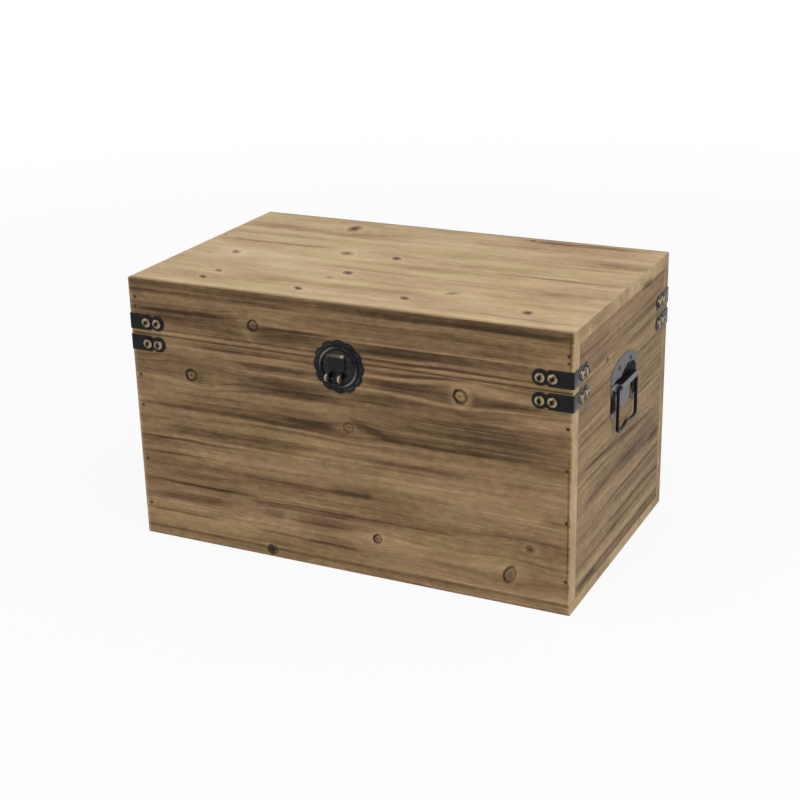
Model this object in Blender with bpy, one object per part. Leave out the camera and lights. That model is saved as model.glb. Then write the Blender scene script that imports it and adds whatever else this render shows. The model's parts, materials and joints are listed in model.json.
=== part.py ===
"""Wooden storage chest: a plank body and lid, corner straps, a round hasp and two bail handles.

Units are metres and +Z is up. The origin is the middle of the underside, and the front faces -Y.
Hardware is drawn on the face it is fixed to: x runs along that face to the right as seen from
outside, -y stands out from the wood, and z is the height above the ground.
"""
import math

import bmesh
import bpy
from mathutils import Matrix, Vector

# Overall size
WIDTH = 0.500
DEPTH = 0.300
BODY_HEIGHT = 0.237
LID_HEIGHT = 0.060

# Boards
WALL = 0.015
TOP_PANEL = 0.015
BOTTOM_PANEL = 0.012
EDGE_ROUND = 0.0008
EDGE_STEPS = 2

# Clearances
GAP = 0.0003
BORE_CLEARANCE = 0.0003
SIDE_CLEARANCE = 0.0006
JOIN_DEPTH = 0.0002
TOOL_REACH = 0.004

# Corner straps: a leaf on each side of the corner, fixed by two pan-head screws. The outer screw
# sits in the middle of a round lobe, and a notch on each edge divides the lobe from the band.
STRAP_LEAF = 0.042
STRAP_HEIGHT = 0.017
STRAP_THICK = 0.0007
STRAP_NOTCH_LENGTH = 0.0044
STRAP_NOTCH_DEPTH = 0.0016
STRAP_ABOVE_SEAM = 0.0035
STRAP_BELOW_SEAM = 0.0030
STRAP_SCREW_SPACING = 0.013
STRAP_HEAD_RADIUS = 0.0057
STRAP_HEAD_HEIGHT = 0.0032

# Shanks of every nail and screw
SHANK_RADIUS = 0.0012
SHANK_COVER = 0.006
SHANK_SIDES = 8
HEAD_SIDES = 12

# Round latch plate, cut in two at the seam
LATCH_RADIUS = 0.0287
LATCH_LOBES = 12
LATCH_LOBE_DEPTH = 0.0024
LATCH_LOBE_STEPS = 4
LATCH_BELOW_SEAM = 0.007
LATCH_THICK = 0.0012
RING_RADIUS = 0.0205
RING_WIDTH = 0.0036
RING_HEIGHT = 0.0016
RING_STEPS = 4
LATCH_MIDDLE_RADIUS = 0.0135
LATCH_MIDDLE_RISE = 0.0019
LATCH_SLOPE_STEPS = 3
LATCH_NAIL_CIRCLE = 0.0238
LATCH_NAIL_ANGLE = 45.0
LATCH_NAIL_RADIUS = 0.0018
LATCH_NAIL_HEIGHT = 0.0010

# Hasp flap, hung from a pin on the upper plate
HASP_WIDTH = 0.0185
HASP_THICK = 0.0014
HASP_OFF_PLATE = 0.0005
HASP_ABOVE_SEAM = 0.0063
HASP_KNUCKLE = 0.010
HASP_PIN_RADIUS = 0.0008
HASP_KNUCKLE_WALL = 0.0011
HASP_PIN_PROUD = 0.0004
HASP_SHOULDER_BELOW_SEAM = 0.0103
HASP_SHOULDER_ROUND = 0.0035
HASP_TAIL_BELOW_SEAM = 0.0245
HASP_LIP_RADIUS = 0.0015

# Staples: two ears that a padlock goes through, one each side of the flap's tail
STAPLE_SPACING = 0.014
STAPLE_THICK = 0.0016
STAPLE_EYE_RADIUS = 0.0018
STAPLE_EYE_WALL = 0.0026
STAPLE_EYE_OFF_PLATE = 0.0088
STAPLE_BELOW_SEAM = 0.0152
STAPLE_TANG = 0.004
STAPLE_NECK = 0.0052

# Side handles: a plate with a rolled barrel that holds the bail's two hooked ends
HANDLE_BELOW_SEAM = 0.0365
HANDLE_WIDTH = 0.078
HANDLE_THICK = 0.0015
HANDLE_ARCH = 0.0275
HANDLE_SHOULDER = 0.0185
HANDLE_LEG_DROP = 0.0325
HANDLE_LEG_WIDTH = 0.010
HANDLE_TONGUE_WIDTH = 0.030
HANDLE_TONGUE_DROP = 0.0290
HANDLE_TONGUE_ROUND = 0.0065
HANDLE_CROTCH = 0.007
HANDLE_CROTCH_ROUND = 0.005
HANDLE_SCREW_SPACING = 0.036
HANDLE_SCREW_RISE = 0.0185
BARREL_LENGTH = 0.048
BARREL_WALL = 0.0019
BARREL_SINK = 0.0008
BAIL_BAR = 0.0036
BAIL_SPREAD = 0.059
BAIL_DROP = 0.0475
BAIL_HOOK = 0.014
BAIL_TOP_ROUND = 0.004
BAIL_BOTTOM_ROUND = 0.005
BAIL_WAVE = 0.0025
BAIL_WAVE_LENGTH = 0.026

# Butt hinges on the back
HINGE_FROM_CORNER = 0.100
HINGE_WIDTH = 0.036
HINGE_LEAF = 0.021
HINGE_THICK = 0.0012
HINGE_KNUCKLE = 0.012
HINGE_PIN_RADIUS = 0.0012
HINGE_KNUCKLE_WALL = 0.0013
HINGE_PIN_PROUD = 0.0006
HINGE_NOTCH = 0.0005
HINGE_CORNER = 0.003
HINGE_SCREW_SPACING = 0.022
HINGE_SCREW_FROM_AXIS = 0.0125
SCREW_HEAD_RADIUS = 0.0026
SCREW_HEAD_HEIGHT = 0.0012

# Steps of round parts
ROUND_SIDES = 16
ARC_STEPS = 6
LOBE_STEPS = 14
NOTCH_STEPS = 4
EYE_STEPS = 12
ARCH_STEPS = 12
WAVE_STEPS = 8
BEND_STEPS = 5
CORNER_STEPS = 3
SMOOTH_BELOW = math.radians(35)

# Places that several pieces share
TOTAL_HEIGHT = BODY_HEIGHT + LID_HEIGHT
SEAM = BODY_HEIGHT
SHANK_DEPTH = WALL - SHANK_COVER
HINGE_KNUCKLE_RADIUS = HINGE_PIN_RADIUS + BORE_CLEARANCE + HINGE_KNUCKLE_WALL
HINGE_STANDOFF = GAP + HINGE_KNUCKLE_RADIUS
HINGE_Z = SEAM + GAP / 2
LATCH_Z = SEAM - LATCH_BELOW_SEAM
LATCH_FACE = GAP + LATCH_THICK
LATCH_MIDDLE = LATCH_FACE + LATCH_MIDDLE_RISE
HASP_Z = SEAM + HASP_ABOVE_SEAM
HASP_KNUCKLE_RADIUS = HASP_PIN_RADIUS + BORE_CLEARANCE + HASP_KNUCKLE_WALL
HASP_STANDOFF = LATCH_MIDDLE + GAP + HASP_KNUCKLE_RADIUS
HASP_BACK = LATCH_MIDDLE + HASP_OFF_PLATE
HASP_TAIL_Z = SEAM - HASP_TAIL_BELOW_SEAM
EYE_Z = SEAM - STAPLE_BELOW_SEAM
STAPLE_SEAT = LATCH_MIDDLE + GAP
EYE_STANDOFF = STAPLE_SEAT + STAPLE_EYE_OFF_PLATE
HANDLE_Z = SEAM - HANDLE_BELOW_SEAM
HANDLE_FACE = GAP + HANDLE_THICK
BARREL_BORE = BAIL_BAR / 2 + BORE_CLEARANCE
BARREL_RADIUS = BARREL_BORE + BARREL_WALL
BAIL_STANDOFF = HANDLE_FACE + BARREL_RADIUS - BARREL_SINK
HINGE_FROM_MIDDLE = WIDTH / 2 - HINGE_FROM_CORNER
STRAP_OUTER_SCREW = STRAP_LEAF - STRAP_HEIGHT / 2
STRAP_INNER_SCREW = STRAP_OUTER_SCREW - STRAP_SCREW_SPACING

FACE_TURN = {"front": 0.0, "right": 90.0, "back": 180.0, "left": 270.0}
FACE_REACH = {"front": DEPTH / 2, "right": WIDTH / 2, "back": DEPTH / 2, "left": WIDTH / 2}
FACE_SENSE = {"front": 1, "right": 1, "back": -1, "left": -1}

# Colour, roughness and metallic value of each finish
FINISHES = {
    "burnt_pine": ((0.19, 0.115, 0.055), 0.65, 0.0),
    "pale_pine": ((0.46, 0.34, 0.18), 0.60, 0.0),
    "black_iron": ((0.028, 0.030, 0.034), 0.45, 0.8),
    "grey_iron": ((0.085, 0.090, 0.105), 0.45, 0.8),
    "worn_steel": ((0.42, 0.38, 0.31), 0.35, 1.0),
}


def clear_scene():
    """Empties the file of objects."""
    for thing in list(bpy.data.objects):
        bpy.data.objects.remove(thing)


def finish(thing, kind):
    """Gives an object its own material."""
    colour, roughness, metallic = FINISHES[kind]
    material = bpy.data.materials.new(thing.name + "_finish")
    material.use_nodes = True
    shader = material.node_tree.nodes["Principled BSDF"]
    shader.inputs["Base Color"].default_value = (*colour, 1.0)
    shader.inputs["Roughness"].default_value = roughness
    shader.inputs["Metallic"].default_value = metallic
    thing.data.materials.append(material)


def empty(name, location, parent=None):
    """An empty on a joint's axis, which carries the pieces that turn about it."""
    thing = bpy.data.objects.new(name, None)
    bpy.context.collection.objects.link(thing)
    thing.location = location
    hang(thing, parent)
    return thing


def hang(thing, parent):
    """Parents an object to an empty and leaves it where it is."""
    if parent is None:
        return
    bpy.context.view_layer.update()
    thing.parent = parent
    thing.matrix_parent_inverse = parent.matrix_world.inverted()


def solid(name, bm, kind, face=None, parent=None):
    """Turns a closed bmesh into a named piece on its face of the chest."""
    thing = mesh_object(name, bm, face)
    finish(thing, kind)
    hang(thing, parent)
    return thing


def mesh_object(name, bm, face):
    """Makes a smooth-shaded mesh object and sets it on a face."""
    bmesh.ops.recalc_face_normals(bm, faces=bm.faces)
    mesh = bpy.data.meshes.new(name)
    bm.to_mesh(mesh)
    bm.free()
    mesh.shade_smooth()
    mesh.set_sharp_from_angle(angle=SMOOTH_BELOW)
    thing = bpy.data.objects.new(name, mesh)
    bpy.context.collection.objects.link(thing)
    set_on_face(thing, face)
    return thing


def set_on_face(thing, face):
    """Turns and moves an object from the face's own axes to the chest's."""
    if face is None:
        return
    frame = face_frame(face)
    thing.location = frame.translation
    thing.rotation_euler = (0.0, 0.0, math.radians(FACE_TURN[face]))


def face_frame(face):
    """The axes of one side of the chest: -y points out of the wood."""
    turn = Matrix.Rotation(math.radians(FACE_TURN[face]), 4, "Z")
    return turn @ Matrix.Translation((0.0, -FACE_REACH[face], 0.0))


def shape(target, bm, operation, face=None):
    """Cuts a hidden tool from a piece, or joins it on."""
    tool = mesh_object(target.name + "_" + operation.lower() + "_tool", bm, face)
    tool.hide_render = True
    tool.display_type = "WIRE"
    modifier = target.modifiers.new(operation.lower(), "BOOLEAN")
    modifier.operation = operation
    modifier.solver = "EXACT"
    modifier.object = tool


def block(bm, low, high):
    """A box between two corners."""
    middle = [(a + b) / 2 for a, b in zip(low, high)]
    sizes = [b - a for a, b in zip(low, high)]
    scale = Matrix.Diagonal((*sizes, 1.0))
    return bmesh.ops.create_cube(bm, size=1.0, matrix=Matrix.Translation(middle) @ scale)


def prism(bm, outline, near, far, to_point):
    """A closed outline carried from one depth to another."""
    first = [bm.verts.new(to_point(a, b, near)) for a, b in outline]
    second = [bm.verts.new(to_point(a, b, far)) for a, b in outline]
    bm.faces.new(first)
    bm.faces.new(list(reversed(second)))
    for index in range(len(outline)):
        following = (index + 1) % len(outline)
        bm.faces.new((first[index], first[following], second[following], second[index]))


def flat(along, height, standoff):
    """A point of a plate that lies against its face."""
    return (along, -standoff, height)


def upright(standoff, height, along):
    """A point of an ear that stands square to its face."""
    return (along, -standoff, height)


def turned(bm, profile, frame, sides):
    """Turns (radius, height) points about the frame's -y axis; radius 0 closes to a point."""
    rings = []
    for radius, height in profile:
        count = sides if radius > 0 else 1
        ring = []
        for step in range(count):
            angle = 2 * math.pi * (step + 0.5) / sides
            point = Vector((radius * math.cos(angle), -height, radius * math.sin(angle)))
            ring.append(bm.verts.new(frame @ point))
        rings.append(ring)
    for upper, lower in zip(rings, rings[1:]):
        for step in range(sides):
            following = (step + 1) % sides
            corners = [upper[step % len(upper)], upper[following % len(upper)]]
            corners += [lower[following % len(lower)], lower[step % len(lower)]]
            bm.faces.new(list(dict.fromkeys(corners)))
    for ring in (rings[0], rings[-1]):
        if len(ring) > 1:
            bm.faces.new(ring)


def rod(bm, centre, standoff, height, near, far, radius, sides=ROUND_SIDES):
    """A round bar along its face, from near to far either side of a centre."""
    frame = Matrix.Translation((centre, -standoff, height))
    frame = frame @ Matrix.Rotation(math.radians(90), 4, "Z")
    turned(bm, [(radius, near), (radius, far)], frame, sides)


def arc(centre, radius, start, end, steps=ARC_STEPS):
    """Points of an arc between two angles in degrees, both ends included."""
    points = []
    for step in range(steps + 1):
        angle = math.radians(start + (end - start) * step / steps)
        points.append((centre[0] + radius * math.cos(angle), centre[1] + radius * math.sin(angle)))
    return points


def bow(start, end, rise, steps=ARC_STEPS):
    """Points of an arc between two points that rises to the left of the way across."""
    chord = Vector(end) - Vector(start)
    half = chord.length / 2
    left = Vector((-chord.y, chord.x)).normalized() * math.copysign(1, rise)
    radius = (half * half + rise * rise) / (2 * abs(rise))
    centre = (Vector(start) + Vector(end)) / 2 + left * (abs(rise) - radius)
    first = Vector(start) - centre
    swing = 2 * math.asin(min(1.0, half / radius)) * -math.copysign(1, rise)
    points = []
    for step in range(steps + 1):
        turn = Matrix.Rotation(swing * step / steps, 2)
        points.append(tuple(centre + turn @ first))
    return points


def dome(radius, height, base, rings=2):
    """Profile of a domed head, from its crown down to its rim."""
    points = [(0.0, base + height)]
    for ring in range(1, rings + 1):
        angle = math.radians(90 - 90 * ring / rings)
        points.append((radius * math.cos(angle), base + height * math.sin(angle)))
    return points


# Pockets for the shanks, gathered as the fasteners are placed and cut from the boards at the end
POCKETS = {"lid": bmesh.new(), "body": bmesh.new()}
SLOTS = {"lid": [], "body": []}


def spot(face, along, height):
    """Axes at a place on a face, with along measured on the chest's own X or Y."""
    return face_frame(face) @ Matrix.Translation((FACE_SENSE[face] * along, 0.0, height))


def drill(level, face, along, height):
    """Adds the pocket of one shank."""
    radius = SHANK_RADIUS + BORE_CLEARANCE
    profile = [(radius, TOOL_REACH), (radius, -SHANK_DEPTH - BORE_CLEARANCE)]
    turned(POCKETS[level], profile, spot(face, along, height), SHANK_SIDES)


def fastener(name, level, face, along, height, radius, rise, seat, parent):
    """A domed nail or screw whose head sits on a plate."""
    drill(level, face, along, height)
    profile = dome(radius, rise, seat + GAP) + [(SHANK_RADIUS, seat + GAP), (SHANK_RADIUS, -SHANK_DEPTH)]
    bm = bmesh.new()
    frame = Matrix.Translation((FACE_SENSE[face] * along, 0.0, height))
    turned(bm, profile, frame, HEAD_SIDES)
    return solid(name, bm, "black_iron", face, parent)


def shank_holes(bm, places):
    """Adds to a tool the holes that shanks need through a plate."""
    radius = SHANK_RADIUS + BORE_CLEARANCE
    for along, height in places:
        frame = Matrix.Translation((along, 0.0, height))
        turned(bm, [(radius, TOOL_REACH), (radius, -TOOL_REACH)], frame, HEAD_SIDES)


def outer_planes(point):
    """The sides of the chest's envelope that a point lies on."""
    tests = {
        "left": point.x + WIDTH / 2,
        "right": point.x - WIDTH / 2,
        "front": point.y + DEPTH / 2,
        "back": point.y - DEPTH / 2,
        "under": point.z,
        "over": point.z - TOTAL_HEIGHT,
    }
    return {name for name, distance in tests.items() if abs(distance) < GAP / 2}


def board(name, low, high, kind, parent=None):
    """A board whose edges are rounded only where they are corners of the chest."""
    bm = bmesh.new()
    block(bm, low, high)
    corners = []
    for edge in bm.edges:
        shared = outer_planes(edge.verts[0].co) & outer_planes(edge.verts[1].co)
        if len(shared) > 1:
            corners.append(edge)
    bmesh.ops.bevel(bm, geom=corners, offset=EDGE_ROUND, segments=EDGE_STEPS, affect="EDGES", profile=0.5)
    return solid(name, bm, kind, parent=parent)


def ring_of_walls(level, low, high, parent=None):
    """Four walls: the front and back boards cover the ends of the side boards."""
    x = WIDTH / 2
    y = DEPTH / 2
    inner = y - WALL - GAP
    walls = [
        board(level + "_front", (-x, -y, low), (x, -y + WALL, high), "burnt_pine", parent),
        board(level + "_back", (-x, y - WALL, low), (x, y, high), "burnt_pine", parent),
        board(level + "_left", (-x, -inner, low), (-x + WALL, inner, high), "burnt_pine", parent),
        board(level + "_right", (x - WALL, -inner, low), (x, inner, high), "burnt_pine", parent),
    ]
    return walls


def panel(name, low, high, kind, parent=None):
    """A panel that covers the whole plan of the chest."""
    x = WIDTH / 2
    y = DEPTH / 2
    return board(name, (-x, -y, low), (x, y, high), kind, parent)


def strap_outline():
    """Outline of a leaf as distance from the corner and height: band, notch, round lobe and back."""
    half = STRAP_HEIGHT / 2
    notch = (STRAP_OUTER_SCREW + STRAP_INNER_SCREW) / 2
    band_end = (notch - STRAP_NOTCH_LENGTH / 2, half)
    lobe_reach = notch + STRAP_NOTCH_LENGTH / 2 - STRAP_OUTER_SCREW
    lobe_start = math.degrees(math.acos(lobe_reach / half))
    lobe = arc((STRAP_OUTER_SCREW, 0.0), half, lobe_start, -lobe_start, LOBE_STEPS)
    points = [(0.0, half)] + bow(band_end, lobe[0], -STRAP_NOTCH_DEPTH, NOTCH_STEPS)
    return points + lobe[1:-1] + [(s, -h) for s, h in reversed(points)]


def strap(level, side_x, side_y, middle, parent):
    """An angle strap round one corner, with its four screws joined on."""
    outline = strap_outline()
    bm = bmesh.new()

    def on_long_side(distance, height, standoff):
        reach = standoff if distance == 0 else -distance
        return (side_x * (WIDTH / 2 + reach), side_y * (DEPTH / 2 + standoff), middle + height)

    def on_short_side(distance, height, standoff):
        reach = standoff if distance == 0 else -distance
        return (side_x * (WIDTH / 2 + standoff), side_y * (DEPTH / 2 + reach), middle + height)

    near = GAP
    far = GAP + STRAP_THICK
    corner = {}
    for to_point in (on_long_side, on_short_side):
        skins = []
        for standoff in (near, far):
            verts = []
            for distance, height in outline:
                key = (height > 0, standoff)
                if distance == 0 and key in corner:
                    verts.append(corner[key])
                    continue
                vert = bm.verts.new(to_point(distance, height, standoff))
                if distance == 0:
                    corner[key] = vert
                verts.append(vert)
            bm.faces.new(verts)
            skins.append(verts)
        for index in range(len(outline) - 1):
            bm.faces.new((skins[0][index], skins[0][index + 1], skins[1][index + 1], skins[1][index]))
    words = (level, "front" if side_y < 0 else "back", "left" if side_x < 0 else "right")
    piece = solid("strap_" + "_".join(words), bm, "black_iron", parent=parent)
    screws = bmesh.new()
    long_face = "front" if side_y < 0 else "back"
    short_face = "left" if side_x < 0 else "right"
    base = far - JOIN_DEPTH
    profile = dome(STRAP_HEAD_RADIUS, STRAP_HEAD_HEIGHT + JOIN_DEPTH, base)
    profile += [(SHANK_RADIUS, base), (SHANK_RADIUS, -SHANK_DEPTH)]
    for distance in (STRAP_OUTER_SCREW, STRAP_INNER_SCREW):
        places = (
            (long_face, side_x * (WIDTH / 2 - distance)),
            (short_face, side_y * (DEPTH / 2 - distance)),
        )
        for face, along in places:
            turned(screws, profile, spot(face, along, middle), HEAD_SIDES)
            drill(level, face, along, middle)
    shape(piece, screws, "UNION")


def latch_disc():
    """The whole scalloped disc, raised in the middle and in a ring, before it is cut in two."""
    bm = bmesh.new()
    count = LATCH_LOBES * LATCH_LOBE_STEPS
    slope_length = RING_RADIUS - RING_WIDTH / 2 - LATCH_MIDDLE_RADIUS
    rings = []
    for step in range(LATCH_SLOPE_STEPS):
        share = step / LATCH_SLOPE_STEPS
        rise = LATCH_MIDDLE_RISE * (1 + math.cos(math.pi * share)) / 2
        rings.append((LATCH_MIDDLE_RADIUS + slope_length * share, 0.0, LATCH_FACE + rise))
    for step in range(RING_STEPS + 1):
        swing = math.pi * step / RING_STEPS
        radius = RING_RADIUS - RING_WIDTH / 2 * math.cos(swing)
        rings.append((radius, 0.0, LATCH_FACE + RING_HEIGHT * math.sin(swing)))
    rings.append((LATCH_RADIUS, LATCH_LOBE_DEPTH, LATCH_FACE))
    rings.append((LATCH_RADIUS, LATCH_LOBE_DEPTH, GAP))
    grid = []
    for radius, lobe_depth, standoff in rings:
        verts = []
        for step in range(count):
            angle = 2 * math.pi * step / count
            reach = radius - lobe_depth * (1 - abs(math.cos(LATCH_LOBES * angle / 2)))
            point = flat(reach * math.cos(angle), LATCH_Z + reach * math.sin(angle), standoff)
            verts.append(bm.verts.new(point))
        grid.append(verts)
    for inner, outer in zip(grid, grid[1:]):
        for step in range(count):
            following = (step + 1) % count
            bm.faces.new((inner[step], inner[following], outer[following], outer[step]))
    bm.faces.new(grid[0])
    bm.faces.new(grid[-1])
    return bm


def keep_part(bm, height, side):
    """Keeps what lies above (side 1) or below (side -1) a level, and closes the cut."""
    everything = list(bm.verts) + list(bm.edges) + list(bm.faces)
    level = (0, 0, height)
    bmesh.ops.bisect_plane(bm, geom=everything, plane_co=level, plane_no=(0, 0, side), clear_inner=True)
    rim = [edge for edge in bm.edges if edge.is_boundary]
    bmesh.ops.holes_fill(bm, edges=rim, sides=0)


def latch_nail_places(side):
    """Where the two nails of the upper (side 1) or lower (side -1) plate go."""
    angle = math.radians(LATCH_NAIL_ANGLE)
    rise = side * LATCH_NAIL_CIRCLE * math.sin(angle)
    reach = LATCH_NAIL_CIRCLE * math.cos(angle)
    return [(-reach, LATCH_Z + rise), (reach, LATCH_Z + rise)]


def upper_latch(parent):
    """Lid half of the latch plate, with the two knuckles that carry the flap's pin."""
    bm = latch_disc()
    keep_part(bm, SEAM + GAP, 1)
    piece = solid("latch_plate_upper", bm, "black_iron", "front", parent)
    inner = HASP_KNUCKLE / 2 + GAP
    outer = HASP_WIDTH / 2
    knuckles = bmesh.new()
    for side in (-1, 1):
        near, far = sorted((side * inner, side * outer))
        foot = HASP_KNUCKLE_RADIUS / 2
        block(knuckles, (near, -HASP_STANDOFF, HASP_Z - foot), (far, -LATCH_FACE + JOIN_DEPTH, HASP_Z + foot))
    shape(piece, knuckles, "UNION", "front")
    rolls = bmesh.new()
    for side in (-1, 1):
        near, far = sorted((side * inner, side * outer))
        rod(rolls, 0.0, HASP_STANDOFF, HASP_Z, near, far, HASP_KNUCKLE_RADIUS, HEAD_SIDES)
    shape(piece, rolls, "UNION", "front")
    holes = bmesh.new()
    bore = HASP_PIN_RADIUS + BORE_CLEARANCE
    rod(holes, 0.0, HASP_STANDOFF, HASP_Z, -HASP_WIDTH, HASP_WIDTH, bore, HEAD_SIDES)
    shank_holes(holes, latch_nail_places(1))
    shape(piece, holes, "DIFFERENCE", "front")


def lower_latch():
    """Body half of the latch plate, pierced for its nails and the staples' tangs."""
    bm = latch_disc()
    keep_part(bm, SEAM - GAP, -1)
    piece = solid("latch_plate_lower", bm, "black_iron", "front")
    holes = bmesh.new()
    shank_holes(holes, latch_nail_places(-1))
    for side in (-1, 1):
        low, high = tang_hole(side)
        block(holes, low, high)
    shape(piece, holes, "DIFFERENCE", "front")


def tang_hole(side):
    """Corners of the hole that a staple's tang needs, on the front face's axes."""
    middle = side * STAPLE_SPACING / 2
    half = STAPLE_THICK / 2 + BORE_CLEARANCE
    rise = STAPLE_TANG / 2 + BORE_CLEARANCE
    low = (middle - half, -TOOL_REACH, EYE_Z - rise)
    high = (middle + half, SHANK_DEPTH + BORE_CLEARANCE, EYE_Z + rise)
    return low, high


def staple(side):
    """A flat ear on a neck, with a padlock eye and a tang that is driven into the front board."""
    radius = STAPLE_EYE_RADIUS + STAPLE_EYE_WALL
    seat = STAPLE_SEAT
    half_tang = STAPLE_TANG / 2
    neck = STAPLE_NECK / 2
    turn = 180 - math.degrees(math.asin(neck / radius))
    outline = [(-SHANK_DEPTH, EYE_Z - half_tang), (seat, EYE_Z - half_tang), (seat, EYE_Z - neck)]
    outline += arc((EYE_STANDOFF, EYE_Z), radius, -turn, turn, EYE_STEPS)
    outline += [(seat, EYE_Z + neck), (seat, EYE_Z + half_tang), (-SHANK_DEPTH, EYE_Z + half_tang)]
    middle = side * STAPLE_SPACING / 2
    bm = bmesh.new()
    prism(bm, outline, middle - STAPLE_THICK / 2, middle + STAPLE_THICK / 2, upright)
    piece = solid("staple_left" if side < 0 else "staple_right", bm, "worn_steel", "front")
    eye = bmesh.new()
    rod(eye, middle, EYE_STANDOFF, EYE_Z, -STAPLE_THICK, STAPLE_THICK, STAPLE_EYE_RADIUS, HEAD_SIDES)
    shape(piece, eye, "DIFFERENCE", "front")
    low, high = tang_hole(side)
    frame = face_frame("front")
    SLOTS["body"].append((frame @ Vector(low), frame @ Vector(high)))


def hasp_flap(parent):
    """The flap: a tab at the pin, a broad plate, and a narrow tail with a rolled lip to lift it by."""
    half = HASP_WIDTH / 2
    tab = HASP_KNUCKLE / 2
    tail = STAPLE_SPACING / 2 - STAPLE_THICK / 2 - SIDE_CLEARANCE
    top = HASP_Z - HASP_KNUCKLE_RADIUS - SIDE_CLEARANCE
    shoulder = SEAM - HASP_SHOULDER_BELOW_SEAM
    soft = HASP_SHOULDER_ROUND
    right = [(tab, HASP_Z), (tab, top), (half, top)]
    right += arc((half - soft, shoulder + soft), soft, 0, -90, CORNER_STEPS)
    right += [(tail, shoulder), (tail, HASP_TAIL_Z)]
    outline = right + [(-a, b) for a, b in reversed(right)]
    bm = bmesh.new()
    prism(bm, outline, HASP_BACK, HASP_BACK + HASP_THICK, flat)
    piece = solid("hasp_flap", bm, "black_iron", "front", parent)
    rolls = bmesh.new()
    rod(rolls, 0.0, HASP_STANDOFF, HASP_Z, -tab, tab, HASP_KNUCKLE_RADIUS, HEAD_SIDES)
    rod(rolls, 0.0, HASP_BACK + HASP_LIP_RADIUS, HASP_TAIL_Z, -tail, tail, HASP_LIP_RADIUS, HEAD_SIDES)
    shape(piece, rolls, "UNION", "front")
    bores = bmesh.new()
    bore = HASP_PIN_RADIUS + BORE_CLEARANCE
    rod(bores, 0.0, HASP_STANDOFF, HASP_Z, -half, half, bore, HEAD_SIDES)
    shape(piece, bores, "DIFFERENCE", "front")


def latch(lid_axis):
    """The round latch: two plates, four nails, a flap on its pin and two staples."""
    hasp_axis = empty("hasp_axis", (0.0, -DEPTH / 2 - HASP_STANDOFF, HASP_Z), lid_axis)
    upper_latch(lid_axis)
    lower_latch()
    levels = (("lid", "upper", 1, lid_axis), ("body", "lower", -1, None))
    for level, word, side, parent in levels:
        for hand, (along, height) in zip(("left", "right"), latch_nail_places(side)):
            name = "latch_nail_" + word + "_" + hand
            size = (LATCH_NAIL_RADIUS, LATCH_NAIL_HEIGHT)
            fastener(name, level, "front", along, height, *size, LATCH_FACE, parent)
    hasp_flap(hasp_axis)
    pin = bmesh.new()
    reach = HASP_WIDTH / 2 + HASP_PIN_PROUD
    rod(pin, 0.0, HASP_STANDOFF, HASP_Z, -reach, reach, HASP_PIN_RADIUS, HEAD_SIDES)
    solid("hasp_pin", pin, "worn_steel", "front", lid_axis)
    for side in (-1, 1):
        staple(side)


def handle_outline():
    """Outline of the handle plate about the bail's axis: an arch over two legs and a tongue."""
    half = HANDLE_WIDTH / 2
    foot = HANDLE_LEG_WIDTH / 2
    inside = half - HANDLE_LEG_WIDTH
    tongue = HANDLE_TONGUE_WIDTH / 2
    crotch = -HANDLE_CROTCH - HANDLE_CROTCH_ROUND
    chin = -HANDLE_TONGUE_DROP + HANDLE_TONGUE_ROUND
    foot_centre = -HANDLE_LEG_DROP + foot
    left = arc((-half + foot, foot_centre), foot, 180, 360)
    left += bow((-inside, crotch), (-tongue, crotch), HANDLE_CROTCH_ROUND, NOTCH_STEPS)
    chin_arc = bow((-tongue, chin), (tongue, chin), -HANDLE_TONGUE_ROUND)
    right = [(-a, b) for a, b in reversed(left)]
    top = bow((half, HANDLE_SHOULDER), (-half, HANDLE_SHOULDER), HANDLE_SHOULDER - HANDLE_ARCH, ARCH_STEPS)
    return left + chin_arc + right + top


def bail_route():
    """Middle line of the bail about its axis: hook, side, waved bottom, side, hook."""
    half = BAIL_SPREAD / 2
    top = BAIL_TOP_ROUND
    low = BAIL_BOTTOM_ROUND
    points = [(half - BAIL_HOOK, 0.0)]
    points += arc((half - top, -top), top, 90, 0, BEND_STEPS)
    points += arc((half - low, -BAIL_DROP + low), low, 0, -90, BEND_STEPS)
    for step in range(WAVE_STEPS // 2 + 1):
        along = BAIL_WAVE_LENGTH * (0.5 - step / WAVE_STEPS)
        rise = BAIL_WAVE * (1 + math.cos(2 * math.pi * along / BAIL_WAVE_LENGTH)) / 2
        points.append((along, -BAIL_DROP + rise))
    return points + [(-a, b) for a, b in reversed(points[:-1])]


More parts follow.
